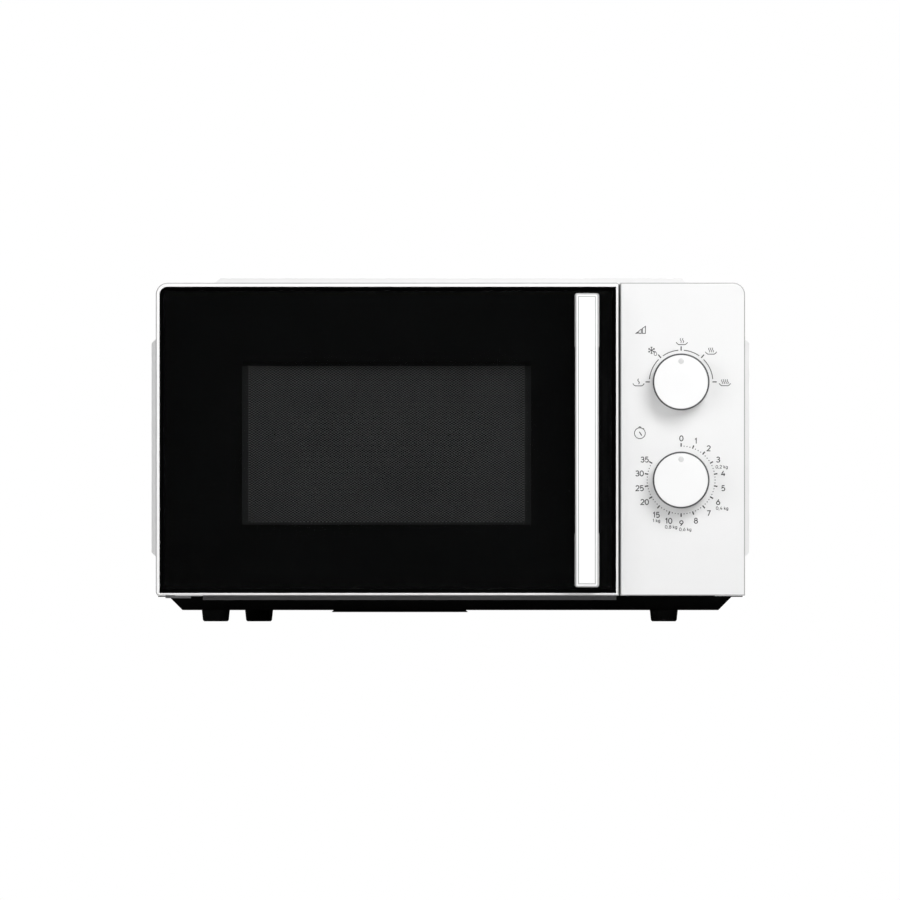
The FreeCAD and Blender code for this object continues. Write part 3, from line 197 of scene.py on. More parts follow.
def loft(bm, layers, place):
    """Closed skin over outlines: each layer is (outline, height along Z of the matrix place)."""
    skin(bm, [[bm.verts.new(place @ Vector((p[0], p[1], height))) for p in outline]
              for outline, height in layers])


def tube(bm, points, radius, segments=12):
    """Round wire along a smooth path."""
    rings = []
    across = None
    for i, point in enumerate(points):
        ahead = (points[min(i + 1, len(points) - 1)] - points[max(i - 1, 0)]).normalized()
        across = (across - ahead * across.dot(ahead) if across else ahead.orthogonal()).normalized()
        turned = ahead.cross(across)
        angles = [2 * math.pi * k / segments for k in range(segments)]
        spokes = [radius * (math.cos(a) * across + math.sin(a) * turned) for a in angles]
        rings.append([bm.verts.new(point + spoke) for spoke in spokes])
    skin(bm, rings)


def arc(radius, start, end, steps, centre=(0.0, 0.0)):
    """Points on an arc; angles in degrees, clockwise from the top."""
    points = []
    for i in range(steps + 1):
        angle = math.radians(start + (end - start) * i / steps)
        points.append((centre[0] + radius * math.sin(angle), centre[1] + radius * math.cos(angle)))
    return points


def facing(x, y, z):
    """Matrix whose XY plane is the front face: X to the right, Y up, and Z towards the viewer."""
    return Matrix.Translation((x, y, z)) @ Matrix.Rotation(math.radians(90), 4, "X")


# ---------------------------------------------------------------- materials
def painted_edge_shade(nodes, links, place, tint, edge):
    """Painted shade on rounded edges: the tint, times edge where the surface is neither square to the front
    nor along it.
    """
    turned = nodes.new("ShaderNodeSeparateXYZ")
    links.new(place.outputs["Normal"], turned.inputs["Vector"])
    facing_front = nodes.new("ShaderNodeMath")
    facing_front.operation = "ABSOLUTE"
    links.new(turned.outputs["Y"], facing_front.inputs[0])
    ramp = nodes.new("ShaderNodeValToRGB")
    stops = ramp.color_ramp.elements
    stops[0].position, stops[1].position = 0.06, 0.985
    for position in (0.18, 0.93):
        stops.new(position).color = (edge, edge, edge, 1)
    for stop in (stops[0], stops[3]):
        stop.color = (1, 1, 1, 1)
    links.new(facing_front.outputs["Value"], ramp.inputs["Fac"])
    mix = nodes.new("ShaderNodeMix")
    mix.data_type = "RGBA"
    mix.blend_type = "MULTIPLY"
    mix.inputs["Factor"].default_value = 1.0
    colour_in = [socket for socket in mix.inputs if socket.type == "RGBA"]
    links.new(tint.outputs["Color"], colour_in[0])
    links.new(ramp.outputs["Color"], colour_in[1])
    return [socket for socket in mix.outputs if socket.type == "RGBA"][0]


def surface(name, colour, roughness, grain_mm=0.5, bump=0.05, metallic=0.0, spread=0.03, streak=None,
            edge=1.0, **extra):
    """Principled material with fine grain; edge below one paints shade on the rounded edges round the front.
    """
    material = bpy.data.materials.new(name)
    material.use_nodes = True
    nodes, links = material.node_tree.nodes, material.node_tree.links
    shader = nodes["Principled BSDF"]
    shader.inputs["Metallic"].default_value = metallic
    for socket, value in extra.items():
        shader.inputs[socket.replace("_", " ")].default_value = value
    place = nodes.new("ShaderNodeTexCoord")
    stretch = nodes.new("ShaderNodeMapping")
    stretch.inputs["Scale"].default_value = streak or (1, 1, 1)
    links.new(place.outputs["Object"], stretch.inputs["Vector"])
    grain = nodes.new("ShaderNodeTexNoise")
    grain.inputs["Scale"].default_value = 1000.0 / grain_mm
    grain.inputs["Detail"].default_value = 3.0
    links.new(stretch.outputs["Vector"], grain.inputs["Vector"])
    cloud = nodes.new("ShaderNodeTexNoise")
    cloud.inputs["Scale"].default_value = 22.0
    cloud.inputs["Detail"].default_value = 4.0
    links.new(stretch.outputs["Vector"], cloud.inputs["Vector"])

    tint = nodes.new("ShaderNodeValToRGB")
    tint.color_ramp.elements[0].color = [max(c * (1 - spread), 0.0) for c in colour] + [1]
    tint.color_ramp.elements[1].color = [min(c * (1 + spread), 1.0) for c in colour] + [1]
    links.new(cloud.outputs["Fac"], tint.inputs["Fac"])
    # edge below one adds painted shade: a darker colour on the rounded edges between the front and the sides
    if edge < 1.0:
        links.new(painted_edge_shade(nodes, links, place, tint, edge), shader.inputs["Base Color"])
    else:
        links.new(tint.outputs["Color"], shader.inputs["Base Color"])

    shine = nodes.new("ShaderNodeMapRange")
    shine.inputs["To Min"].default_value = roughness * 0.85
    shine.inputs["To Max"].default_value = min(roughness * 1.15, 1.0)
    links.new(grain.outputs["Fac"], shine.inputs["Value"])
    links.new(shine.outputs["Result"], shader.inputs["Roughness"])

    relief = nodes.new("ShaderNodeBump")
    relief.inputs["Strength"].default_value = bump
    relief.inputs["Distance"].default_value = grain_mm * MM * 0.2
    links.new(grain.outputs["Fac"], relief.inputs["Height"])
    links.new(relief.outputs["Normal"], shader.inputs["Normal"])
    return material


def clear_glass(name, tint):
    """Clear glass, with the faintest unevenness in its polish."""
    material = surface(name, tint, 0.02, grain_mm=40.0, bump=0.0, spread=0.01)
    shader = material.node_tree.nodes["Principled BSDF"]
    shader.inputs["Transmission Weight"].default_value = 1.0
    shader.inputs["IOR"].default_value = 1.5
    return material


WHITE_PAINT = surface("white_paint", (0.92, 0.92, 0.92), 0.38, grain_mm=0.9, bump=0.22, spread=0.01)
# white plastic, with painted shade on its rounded edges (edge=0.55)
WHITE_PLASTIC = surface("white_plastic", (0.79, 0.79, 0.79), 0.26, grain_mm=0.35, bump=0.05, spread=0.008,
                        edge=0.55)
# gloss white plastic, with painted shade on its rounded edges (edge=0.5)
GLOSS_WHITE = surface("gloss_white_plastic", (0.93, 0.93, 0.93), 0.2, grain_mm=0.35, bump=0.04, spread=0.006,
                      edge=0.5)
BLACK_PAINT = surface("black_paint", (0.0025, 0.0025, 0.0025), 0.6, grain_mm=0.7, bump=0.2, spread=0.1,
                      Specular_IOR_Level=0.06)
BLACK_PRINT = surface("black_print", (0.0012, 0.0012, 0.0012), 0.7, grain_mm=0.3, bump=0.03, spread=0.1,
                      Specular_IOR_Level=0.05)
BLACK_PLASTIC = surface("black_plastic", (0.016, 0.016, 0.017), 0.45, grain_mm=0.4, bump=0.18, spread=0.08)
BLACK_RUBBER = surface("black_rubber", (0.006, 0.006, 0.006), 0.8, grain_mm=0.5, bump=0.35, spread=0.15,
                       Specular_IOR_Level=0.15)
SCREEN_PAINT = surface("screen_paint", (0.135, 0.135, 0.136), 0.6, grain_mm=0.5, bump=0.1, spread=0.1,
                       Specular_IOR_Level=0.08)
# near-black: painted shade on the plain margin of the screen
BORDER_SHADE = surface("border_painted_shade", (0.022, 0.022, 0.0225), 0.6, grain_mm=0.5, bump=0.1, spread=0.1,
                       Specular_IOR_Level=0.08)
ENAMEL = surface("grey_enamel", (0.44, 0.45, 0.45), 0.22, grain_mm=1.6, bump=0.10, spread=0.05)
GALVANISED = surface("galvanised_steel", (0.56, 0.57, 0.58), 0.34, grain_mm=3.0, bump=0.10, metallic=1.0,
                     spread=0.12)
SILL_STEEL = surface("sill_steel", (0.10, 0.10, 0.103), 0.45, grain_mm=0.8, bump=0.1, spread=0.1)
HINGE_STEEL = surface("hinge_steel", (0.20, 0.20, 0.205), 0.45, grain_mm=1.2, bump=0.15, metallic=0.2,
                      spread=0.12)
BRIGHT_STEEL = surface("bright_steel", (0.66, 0.66, 0.67), 0.25, grain_mm=0.6, bump=0.08, metallic=1.0,
                       spread=0.05, streak=(1, 1, 0.1))
ALUMINIUM = surface("aluminium", (0.78, 0.78, 0.79), 0.32, grain_mm=1.2, bump=0.08, metallic=1.0, spread=0.05,
                    streak=(1, 0.08, 1))
NYLON = surface("natural_nylon", (0.74, 0.72, 0.64), 0.42, grain_mm=0.6, bump=0.08, spread=0.04)
DOOR_GLASS = clear_glass("door_glass", (0.86, 0.88, 0.88))
TRAY_GLASS = clear_glass("tray_glass", (0.93, 0.97, 0.95))
SMOKED_FILM = clear_glass("smoked_film", (0.16, 0.16, 0.165))
MICA = surface("mica_sheet", (0.60, 0.52, 0.40), 0.48, grain_mm=5.0, bump=0.35, spread=0.25)
CORE_IRON = surface("core_iron", (0.075, 0.07, 0.068), 0.5, grain_mm=0.5, bump=0.8, spread=0.2,
                    metallic=0.7, streak=(8, 0.05, 0.05))
COPPER = surface("copper_wire", (0.56, 0.22, 0.09), 0.3, grain_mm=1.0, bump=0.8, metallic=0.9, spread=0.15,
                 streak=(0.05, 0.05, 2.0))
BOARD = surface("circuit_board", (0.30, 0.20, 0.08), 0.5, grain_mm=1.0, bump=0.1, spread=0.15)
LEADS = surface("lead_insulation", (0.62, 0.62, 0.60), 0.4, grain_mm=0.8, bump=0.05, spread=0.05)
MARKING = surface("dial_marking", (0.016, 0.016, 0.017), 0.6, grain_mm=0.2, bump=0.02, spread=0.05)
KNOB_WHITE = surface("knob_white_plastic", (0.83, 0.83, 0.83), 0.24, grain_mm=0.35, bump=0.04, spread=0.006)
# grey dot: painted shade, so the raised dot stands out on the white knob
DOT_PAINTED_SHADE = surface("knob_dot", (0.62, 0.62, 0.62), 0.3, grain_mm=0.35, bump=0.04, spread=0.01)
# near-black ring: painted shade on the rounded rim of each knob
KNOB_SHADE_RING = surface("knob_shade_ring", (0.055, 0.055, 0.058), 0.35, grain_mm=0.3, bump=0.03, spread=0.05)

CAD_FINISH = {
    "outer_cover": WHITE_PAINT, "rear_panel": GALVANISED, "base_plate": BLACK_PAINT,
    "motor_cover": BLACK_PAINT, "foot_front_left": BLACK_RUBBER, "foot_front_right": BLACK_RUBBER,
    "foot_rear_left": BLACK_RUBBER, "foot_rear_right": BLACK_RUBBER, "cavity": ENAMEL, "front_frame": ENAMEL,
    "waveguide_cover": MICA, "front_sill": SILL_STEEL, "hinge_lower": HINGE_STEEL, "hinge_upper": HINGE_STEEL,
    "interlock_bracket": GALVANISED, "door_switches": BLACK_PLASTIC, "switch_plungers": NYLON,
    "door_frame": GLOSS_WHITE, "door_glass": DOOR_GLASS, "door_screen": SCREEN_PAINT,
    "door_choke": BLACK_PLASTIC, "choke_cover": BLACK_PLASTIC, "handle": WHITE_PLASTIC,
    "handle_screws": BRIGHT_STEEL, "latch_key": NYLON, "latch_spring": BRIGHT_STEEL,
    "control_panel": WHITE_PLASTIC, "timer_unit": NYLON, "timer_bell": BRIGHT_STEEL,
    "turntable_motor": GALVANISED, "drive_coupler": NYLON, "glass_tray": TRAY_GLASS, "roller_ring": NYLON,
    "roller_wheel_1": NYLON, "roller_wheel_2": NYLON, "roller_wheel_3": NYLON, "waveguide": ALUMINIUM,
    "magnetron_yoke": GALVANISED, "magnetron_tube": ALUMINIUM, "transformer_core": CORE_IRON,
    "transformer_windings": COPPER, "capacitor": ALUMINIUM, "capacitor_clamp": GALVANISED,
    "hv_diode": BLACK_PLASTIC, "filter_board": BOARD, "fan_shroud": BLACK_PLASTIC, "fan_motor": GALVANISED,
    "fan_blade": BLACK_PLASTIC, "air_duct": BLACK_PLASTIC, "lamp_holder": GALVANISED,
    "oven_lamp": TRAY_GLASS, "thermostats": BLACK_PLASTIC, "cord_gland": BLACK_RUBBER,
    "case_screws": BRIGHT_STEEL, "wiring": LEADS, "power_knob": WHITE_PLASTIC, "timer_knob": WHITE_PLASTIC,
    "power_shaft": BRIGHT_STEEL, "timer_shaft": BRIGHT_STEEL,
}
for node, finish in CAD_FINISH.items():
    cad_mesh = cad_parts[node].data
    cad_mesh.materials.clear()
    cad_mesh.materials.append(finish)


# ---------------------------------------------------------------- door glass print and screen
WINDOW_LEFT = GLASS_LOW.x + 62.3 * MM
WINDOW_RIGHT = GLASS_HIGH.x - 64.2 * MM
WINDOW_LOW = GLASS_LOW.z + 51.6 * MM
WINDOW_HIGH = GLASS_HIGH.z - 56.3 * MM
HOLE_PITCH_X = 2.83 * MM
HOLE_PITCH_Z = 1.85 * MM
HOLE_HALF_X = 0.98 * MM
HOLE_HALF_Z = 0.66 * MM
HOLE_SIDES = 6
PRINT_FRONT, PRINT_BACK = GLASS_HIGH.y + 0.02 * MM, GLASS_HIGH.y + 0.14 * MM
# height of the smoked band of painted shadow along the window top
SHADOW_BAND_HEIGHT = 3.6 * MM
BORDER_SPARE = 3.0 * MM
FILM_LEFT, FILM_RIGHT = -180.0 * MM, 84.0 * MM
FILM_LOW, FILM_HIGH = 59.0 * MM, 214.0 * MM


def corners_of(left, right, low, high, radii):
    """Rounded corners of a rectangle in the front plane, from the lower left one on."""
    places = ((left, low), (right, low), (right, high), (left, high))
    return rounded([(x, z, radius) for (x, z), radius in zip(places, radii)])


def thin_frame(name, outside, inside, front, back, material):
    """Flat frame between two outlines with the same number of points."""
    bm = bmesh.new()
    rings = [[bm.verts.new((p.x, depth, p.y)) for p in outline]
             for outline in (outside, inside) for depth in (front, back)]
    count = len(outside)
    for first, second in ((rings[0], rings[1]), (rings[1], rings[3]), (rings[3], rings[2]),
                          (rings[2], rings[0])):
        for i in range(count):
            j = (i + 1) % count
            bm.faces.new((first[i], first[j], second[j], second[i]))
    return piece(name, mesh_of(bm, name), "door", material)


def thin_sheet(name, left, right, low, high, front, back, radius, material):
    """Flat sheet with rounded corners."""
    bm = bmesh.new()
    outline = [(p.x, p.y) for p in corners_of(left, right, low, high, [radius] * 4)]
    prism(bm, outline, facing(0, back, 0), 0, back - front)
    return piece(name, mesh_of(bm, name), "door", material)


def glass_print():
    """Black enamel on the back of the glass; the window is clear but for a smoked band of painted shadow
    along its top.
    """
    low, high, gap = GLASS_LOW, GLASS_HIGH, 0.3 * MM
    outside = corners_of(low.x + gap, high.x - gap, low.z + gap, high.z - gap,
                         (0.5 * MM, 0.5 * MM, 0.5 * MM, 6.0 * MM))
    window = corners_of(WINDOW_LEFT, WINDOW_RIGHT, WINDOW_LOW, WINDOW_HIGH, [1.2 * MM] * 4)
    thin_frame("glass_print", outside, window, PRINT_FRONT, PRINT_BACK, BLACK_PRINT)
    # smoked strip along the window top: painted shadow
    thin_sheet("painted_shadow_band", WINDOW_LEFT, WINDOW_RIGHT, WINDOW_HIGH - SHADOW_BAND_HEIGHT, WINDOW_HIGH - 0.05 * MM,
               PRINT_FRONT, PRINT_BACK, 0.1 * MM, SMOKED_FILM)


def screen_border(field):
    """Painted shade on the plain edge of the screen, round its field of holes: a darker sheet just in front
    of it.
    """
    left, right, low, high = field
    outside = corners_of(WINDOW_LEFT - BORDER_SPARE, WINDOW_RIGHT + BORDER_SPARE, WINDOW_LOW - BORDER_SPARE,
                         WINDOW_HIGH + BORDER_SPARE, [1.0 * MM] * 4)
    inside = corners_of(left, right, low, high, [0.2 * MM] * 4)
    thin_frame("screen_border", outside, inside, SCREEN_LOW.y - 0.07 * MM, SCREEN_LOW.y - 0.01 * MM,
               BORDER_SHADE)


def screen_half(name, first_column, columns, grid, is_left):
    """One half of the perforated steel sheet, as a closed mesh of small cells, one hole in each."""
    start_x, start_z, rows = grid
    half_x, half_z = HOLE_PITCH_X / 2, HOLE_PITCH_Z / 2
    verts, faces, index = [], [], {}
    front, back = SCREEN_LOW.y, SCREEN_HIGH.y
    low, high = SCREEN_LOW.z, SCREEN_HIGH.z
    x_first = start_x + first_column * HOLE_PITCH_X
    x_last = x_first + (columns - 1) * HOLE_PITCH_X
    z_last = start_z + (rows - 1) * half_z
    outer = SCREEN_LOW.x if is_left else SCREEN_HIGH.x
    edge = x_first if is_left else x_last
    seam = x_last + HOLE_PITCH_X if is_left else x_first
    inward = half_x if is_left else -half_x

    def vertex(x, z, y):
        key = (round(x * 1e7), round(z * 1e7), y)
        if key not in index:
            index[key] = len(verts)
            verts.append((x, y, z))
        return index[key]

    def both(points):
        """The same polygon on the front and, turned over, on the back."""
        faces.append([vertex(x, z, front) for x, z in points])
        faces.append([vertex(x, z, back) for x, z in points[::-1]])

    def walls(line):
        for here, there in zip(line, line[1:]):
            faces.append([vertex(*here, front), vertex(*there, front), vertex(*there, back),
                          vertex(*here, back)])

    def cell(x, z):
        corners = [(x + half_x, z), (x, z + half_z), (x - half_x, z), (x, z - half_z)]
        ring = [(x + HOLE_HALF_X * math.cos(math.radians(30 + 60 * k)),
                 z + HOLE_HALF_Z * math.sin(math.radians(30 + 60 * k))) for k in range(HOLE_SIDES)]
        both([corners[0], ring[0], ring[5]])
        both([corners[0], corners[1], ring[1], ring[0]])
        both([corners[1], corners[2], ring[2], ring[1]])
        both([corners[2], ring[3], ring[2]])
        both([corners[2], corners[3], ring[4], ring[3]])
        both([corners[3], corners[0], ring[5], ring[4]])
        walls(ring + ring[:1])

    for row in range(rows):
        count = columns if is_left or row % 2 == 0 else columns - 1
        for column in range(count):
            cell(x_first + column * HOLE_PITCH_X + half_x * (row % 2), start_z + row * half_z)

    columns_x = [x_first + column * HOLE_PITCH_X for column in range(columns + is_left)]
    for x, x_next in zip(columns_x, columns_x[1:]):
        both([(x, low), (x_next, low), (x_next, start_z - half_z), (x + half_x, start_z),
              (x, start_z - half_z)])
        both([(x, high), (x, z_last + half_z), (x + half_x, z_last), (x_next, z_last + half_z),
              (x_next, high)])
    for row in range(0, rows - 1, 2):
        z = start_z + row * half_z
        both([(outer, z), (edge - inward, z), (edge, z + half_z), (edge - inward, z + HOLE_PITCH_Z),
              (outer, z + HOLE_PITCH_Z)])
    both([(outer, low), (edge, low), (edge, start_z - half_z), (edge - inward, start_z), (outer, start_z)])
    both([(outer, high), (edge, high), (edge, z_last + half_z), (edge - inward, z_last), (outer, z_last)])

    walls([(outer, low)] + [(outer, start_z + row * half_z) for row in range(0, rows, 2)] + [(outer, high)])
    zigzag = [(seam - half_x * (row % 2 == 0), start_z + row * half_z) for row in range(rows)]
    walls([(seam, low), (seam, start_z - half_z)] + zigzag + [(seam, z_last + half_z), (seam, high)])
    for level in (low, high):
        line = [(outer, level)] + [(x, level) for x in (columns_x if is_left else columns_x[::-1])]
        walls(line)
    mesh = bpy.data.meshes.new(name)
    mesh.from_pydata(verts, [], faces)
    bm = bmesh.new()
    bm.from_mesh(mesh)
    bmesh.ops.recalc_face_normals(bm, faces=bm.faces)
    bm.to_mesh(mesh)
    bm.free()
    half = piece(name, mesh, "door", SCREEN_PAINT, smooth_angle=20)
    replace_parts(half, "door_screen")


def door_screen():
    """The screen sheet in two halves, its holes centred in the window."""
    columns = 74
    rows = 129
    start_x = (WINDOW_LEFT + WINDOW_RIGHT) / 2 - (columns - 1) * HOLE_PITCH_X / 2
    start_z = (WINDOW_LOW + WINDOW_HIGH) / 2 - (rows - 1) * HOLE_PITCH_Z / 4
    half = columns // 2
    screen_half("door_screen_left", 0, half, (start_x, start_z, rows), True)
    screen_half("door_screen_right", half, columns - half, (start_x, start_z, rows), False)
    end_x = start_x + (columns - 1) * HOLE_PITCH_X
    end_z = start_z + (rows - 1) * HOLE_PITCH_Z / 2
    screen_border((start_x - HOLE_HALF_X, end_x + HOLE_HALF_X, start_z - HOLE_HALF_Z, end_z + HOLE_HALF_Z))


def window_film():
    """Smoked film on the lip of the inner cover, behind the screen."""
    lip = span("choke_cover")[0].y
    thin_sheet("window_film", FILM_LEFT, FILM_RIGHT, FILM_LOW, FILM_HIGH, lip - 0.35 * MM, lip - 0.05 * MM,
               2.0 * MM, SMOKED_FILM)


glass_print()
door_screen()
window_film()


# ---------------------------------------------------------------- knobs
KNOB_WALL = 2.2 * MM
KNOB_BORE = 3.2 * MM
KNOB_HUB = 5.4 * MM
KNOB_WEB = 5 * MM
# width and depth of the dark ring of painted shade on the knob rim
SHADE_RING_WIDTH = 1.15 * MM
SHADE_RING_DEPTH = 1.3 * MM
DOT_HEIGHT = 0.5 * MM
DOT_REACH = 15.7 * MM


def knob(node, body):
    """Smooth turned knob with a dark ring of painted shade round its face and a raised dot, grey for painted
    shade.
    """
    low, high = span(node)
    centre = Vector(((low.x + high.x) / 2, high.y, (low.z + high.z) / 2))
    place = facing(*centre)
    radius = (high.x - low.x) / 2
    depth = high.y - low.y - DOT_HEIGHT
    inside = radius - KNOB_WALL
    ceiling = depth - KNOB_WALL
    face = radius - SHADE_RING_WIDTH
    web = depth - KNOB_WEB
    shoulder = depth - SHADE_RING_DEPTH
    profile = rounded([
        (KNOB_BORE, 0, 0), (KNOB_HUB, 0, 0.3 * MM), (KNOB_HUB, ceiling, 0), (inside, ceiling, 0),
        (inside, 0, 0.3 * MM), (radius, 0, 0.4 * MM), (radius, shoulder, 0),
        (face - 0.2 * MM, shoulder, 0), (face, shoulder + 0.1 * MM, 0.05 * MM), (face, depth, 0.55 * MM),
        (0, depth, 0), (0, web, 0), (KNOB_BORE, web, 0)])
    bm = bmesh.new()
    lathe(bm, profile, place, segments=128)
    cap = piece(node + "_turned", mesh_of(bm, node), body, KNOB_WHITE)
    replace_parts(cap, node)
    # dark ring of painted shade on the rounded rim round the face
    ring = bmesh.new()
    lathe(ring, rounded([(face + 0.01 * MM, shoulder + 0.01 * MM, 0), (radius, shoulder + 0.01 * MM, 0),
                         (radius - 0.02 * MM, depth - 0.4 * MM, 0.3 * MM),
                         (face + 0.01 * MM, depth - 0.35 * MM, 0)]), place, 128)
    piece(node + "_ring", mesh_of(ring, node + "_ring"), body, KNOB_SHADE_RING)
    # raised dot, grey for painted shade
    stud = bmesh.new()
    mound = [(2.1 * MM, 0.01 * MM), (2.05 * MM, 0.12 * MM), (1.35 * MM, 0.48 * MM), (1.0 * MM, DOT_HEIGHT),
             (0, DOT_HEIGHT), (0, 0.01 * MM)]
    lathe(stud, mound, place @ Matrix.Translation((0, DOT_REACH, depth)), segments=48)
    piece(node + "_dot", mesh_of(stud, node + "_dot"), body, DOT_PAINTED_SHADE)
    return centre


POWER_CENTRE = knob("power_knob", "power_control")
TIMER_CENTRE = knob("timer_knob", "timer_control")


# ---------------------------------------------------------------- handle
HANDLE_FLARE = 0.35 * MM
HANDLE_CORNER = 2.0 * MM
LEG_LENGTH = 42.0 * MM
BAR_DEPTH = 12.5 * MM


def slab(low, high, inset, corner):
    """Rounded rectangle in the front plane, from the corners low to high, made smaller by inset."""
    x0, x1, z0, z1 = low.x + inset, high.x - inset, low.z + inset, high.z - inset
    radius = max(corner - inset, 0.25 * MM)
    return rounded([(x0, z0, radius), (x1, z0, radius), (x1, z1, radius), (x0, z1, radius)], steps=6)


def handle():
    """Pull handle: a bar with soft edges and a fine inset line, on two legs that are slightly wider."""
    low, high = span("handle")
    place = facing(0, high.y, 0)
    reach = high.y - low.y
    back = reach - BAR_DEPTH
    flare = Vector((HANDLE_FLARE, 0, 0))
    bar_low, bar_high = low + flare, high - flare
    bm = bmesh.new()
    face = ((0.0, 1.6), (0.15, 1.0), (0.5, 0.5), (1.0, 0.22), (1.7, 0.14), (2.2, 0.14), (2.45, 0.34),
            (2.7, 0.12), (3.1, 0.02), (3.6, 0.0))
    steps = [(0.0, back)] + [(inset * MM, reach - drop * MM) for inset, drop in face]
    loft(bm, [(slab(bar_low, bar_high, inset, HANDLE_CORNER), height) for inset, height in steps], place)
    for z_low, z_high in ((low.z, low.z + LEG_LENGTH), (high.z - LEG_LENGTH, high.z)):
        foot_low, foot_high = Vector((low.x, 0, z_low)), Vector((high.x, 0, z_high))
        loft(bm, [(slab(foot_low, foot_high, inset, HANDLE_CORNER), height)
                  for inset, height in ((0.0, 0.0), (0.0, back - 0.5 * MM), (0.3 * MM, back))], place)
    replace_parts(piece("handle_moulded", mesh_of(bm, "handle_moulded"), "door", GLOSS_WHITE),
                "handle")


handle()


# ---------------------------------------------------------------- latch spring and leads
SPRING_WIRE = 0.4 * MM
SPRING_TURNS = 7.0
FLAT_TURNS = 0.7
LEAD_RADIUS = 1.5 * MM
LEAD_BEND = 12.0
BEND_STEPS = 10
WIRE_SMOOTHING = 60
LEAD_ROUTES = (
    ((206, -112, 150), (206, -80, 150), (206, -80, 40), (206, 60, 40)),
    ((134, -100, 60), (134, -60, 60), (134, -60, 20), (134, 5, 20)),
    ((208, 112, 140), (208, 112, 70), (208, 30, 70)),
)


def latch_spring():
    """Coil spring with flat end turns."""
    low, high = span("latch_spring")
    x, y = (low.x + high.x) / 2, (low.y + high.y) / 2
    radius = (high.x - low.x) / 2 - SPRING_WIRE
    bottom, rise = low.z + SPRING_WIRE, high.z - low.z - 2 * SPRING_WIRE
    steps = round(SPRING_TURNS * 40)
    points = []
    for i in range(steps + 1):
        turn = SPRING_TURNS * i / steps
        share = min(max((turn - FLAT_TURNS) / (SPRING_TURNS - 2 * FLAT_TURNS), 0), 1)
        angle = 2 * math.pi * turn
        offset = (radius * math.cos(angle), radius * math.sin(angle), rise * share)
        points.append(Vector((x, y, bottom)) + Vector(offset))
    bm = bmesh.new()
    tube(bm, points, SPRING_WIRE, segments=10)
    coil = piece("latch_spring_coil", mesh_of(bm, "latch_spring_coil"), "door", BRIGHT_STEEL,
                 WIRE_SMOOTHING)
    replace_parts(coil, "latch_spring")
    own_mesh(coil)


def leads():
    """The three runs of wiring, with an even bend at each corner."""
    bm = bmesh.new()
    for route in LEAD_ROUTES:
        corners = [Vector(point) for point in route]
        path = [corners[0]]
        for before, here, after in zip(corners, corners[1:], corners[2:]):
            start = here + (before - here).normalized() * LEAD_BEND
            end = here + (after - here).normalized() * LEAD_BEND
            shares = [k / BEND_STEPS for k in range(BEND_STEPS + 1)]
            path += [start.lerp(here, share).lerp(here.lerp(end, share), share) for share in shares]
        path.append(corners[-1])
        tube(bm, [point * MM for point in path], LEAD_RADIUS)
    wires = piece("wiring_leads", mesh_of(bm, "wiring_leads"), "case", LEADS,
                  WIRE_SMOOTHING)
    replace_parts(wires, "wiring")


latch_spring()
leads()


# ---------------------------------------------------------------- printed markings
INK_LOW, INK_HIGH = -0.01 * MM, 0.04 * MM
POWER_ARC = 24.0
TIMER_DOT_RING = 25.7
NUMBER_RING = 32.1
NUMBER_HEIGHT = 3.85
WEIGHT_HEIGHT = 2.3


def polar(radius, degrees):
    """Point at a radius and an angle clockwise from the top."""
    angle = math.radians(degrees)
    return (radius * math.sin(angle), radius * math.cos(angle))


def line(bm, place, points, width, closed=False):
    """Printed line through points in millimetres."""
    ribbon(bm, [(x * MM, y * MM) for x, y in points], width * MM, place, INK_LOW, INK_HIGH, closed)


def disc(bm, place, x, y, radius):
    """Printed dot, in millimetres."""
    angles = [k * math.pi / 8 for k in range(16)]
    outline = [((x + radius * math.cos(a)) * MM, (y + radius * math.sin(a)) * MM) for a in angles]
    prism(bm, outline, place, INK_LOW, INK_HIGH)


def oval(x, y, half_width, half_height, start, end, steps=20):
    """Points on an ellipse; angles in degrees, clockwise from the top."""
    points = []
    for i in range(steps + 1):
        across, up = polar(1.0, start + (end - start) * i / steps)
        points.append((x + half_width * across, y + half_height * up))
    return points


def glyphs():
    """Strokes of the printed characters, one unit high: name to (width, strokes)."""
    small = oval(0.36, 0.31, 0.33, 0.31, 0, 342)
    six = [(0.52, 1.0), (0.16, 0.56), (0.06, 0.42)]
    return {
        "0": (0.74, [oval(0.37, 0.5, 0.33, 0.5, 0, 342)]),
        "1": (0.46, [[(0.04, 0.80), (0.30, 1.0), (0.30, 0.0)]]),
        "2": (0.70, [oval(0.35, 0.71, 0.30, 0.29, -75, 118, 12) + [(0.04, 0.0), (0.70, 0.0)]]),
        "3": (0.70, [oval(0.34, 0.76, 0.27, 0.24, -70, 180, 12) + oval(0.34, 0.26, 0.32, 0.26, 10, 250, 12)]),
        "4": (0.74, [[(0.42, 1.0), (0.05, 0.27), (0.74, 0.27)], [(0.54, 0.58), (0.54, 0.0)]]),
        "5": (0.70, [[(0.62, 1.0), (0.16, 1.0), (0.10, 0.52)] + oval(0.34, 0.32, 0.32, 0.32, -30, 235, 12)]),
        "6": (0.72, [small, six]),
        "7": (0.68, [[(0.02, 1.0), (0.66, 1.0), (0.24, 0.0)]]),
        "8": (0.70, [oval(0.35, 0.77, 0.25, 0.23, 0, 342), oval(0.35, 0.27, 0.32, 0.27, 0, 342)]),
        "9": (0.72, [[(0.72 - x, 1.0 - y) for x, y in stroke] for stroke in (small, six)]),
        ",": (0.30, [[(0.14, 0.08), (0.04, -0.18)]]),
        " ": (0.30, []),
        "k": (0.56, [[(0.06, 0.0), (0.06, 1.0)], [(0.48, 0.66), (0.10, 0.28)], [(0.22, 0.40), (0.52, 0.0)]]),
        "g": (0.66, [oval(0.32, 0.33, 0.27, 0.33, 0, 342),
                     [(0.59, 0.68), (0.59, -0.08)] + oval(0.33, -0.06, 0.26, 0.22, 100, 235, 8)]),
    }


GLYPHS = glyphs()
GLYPH_GAP = 0.14


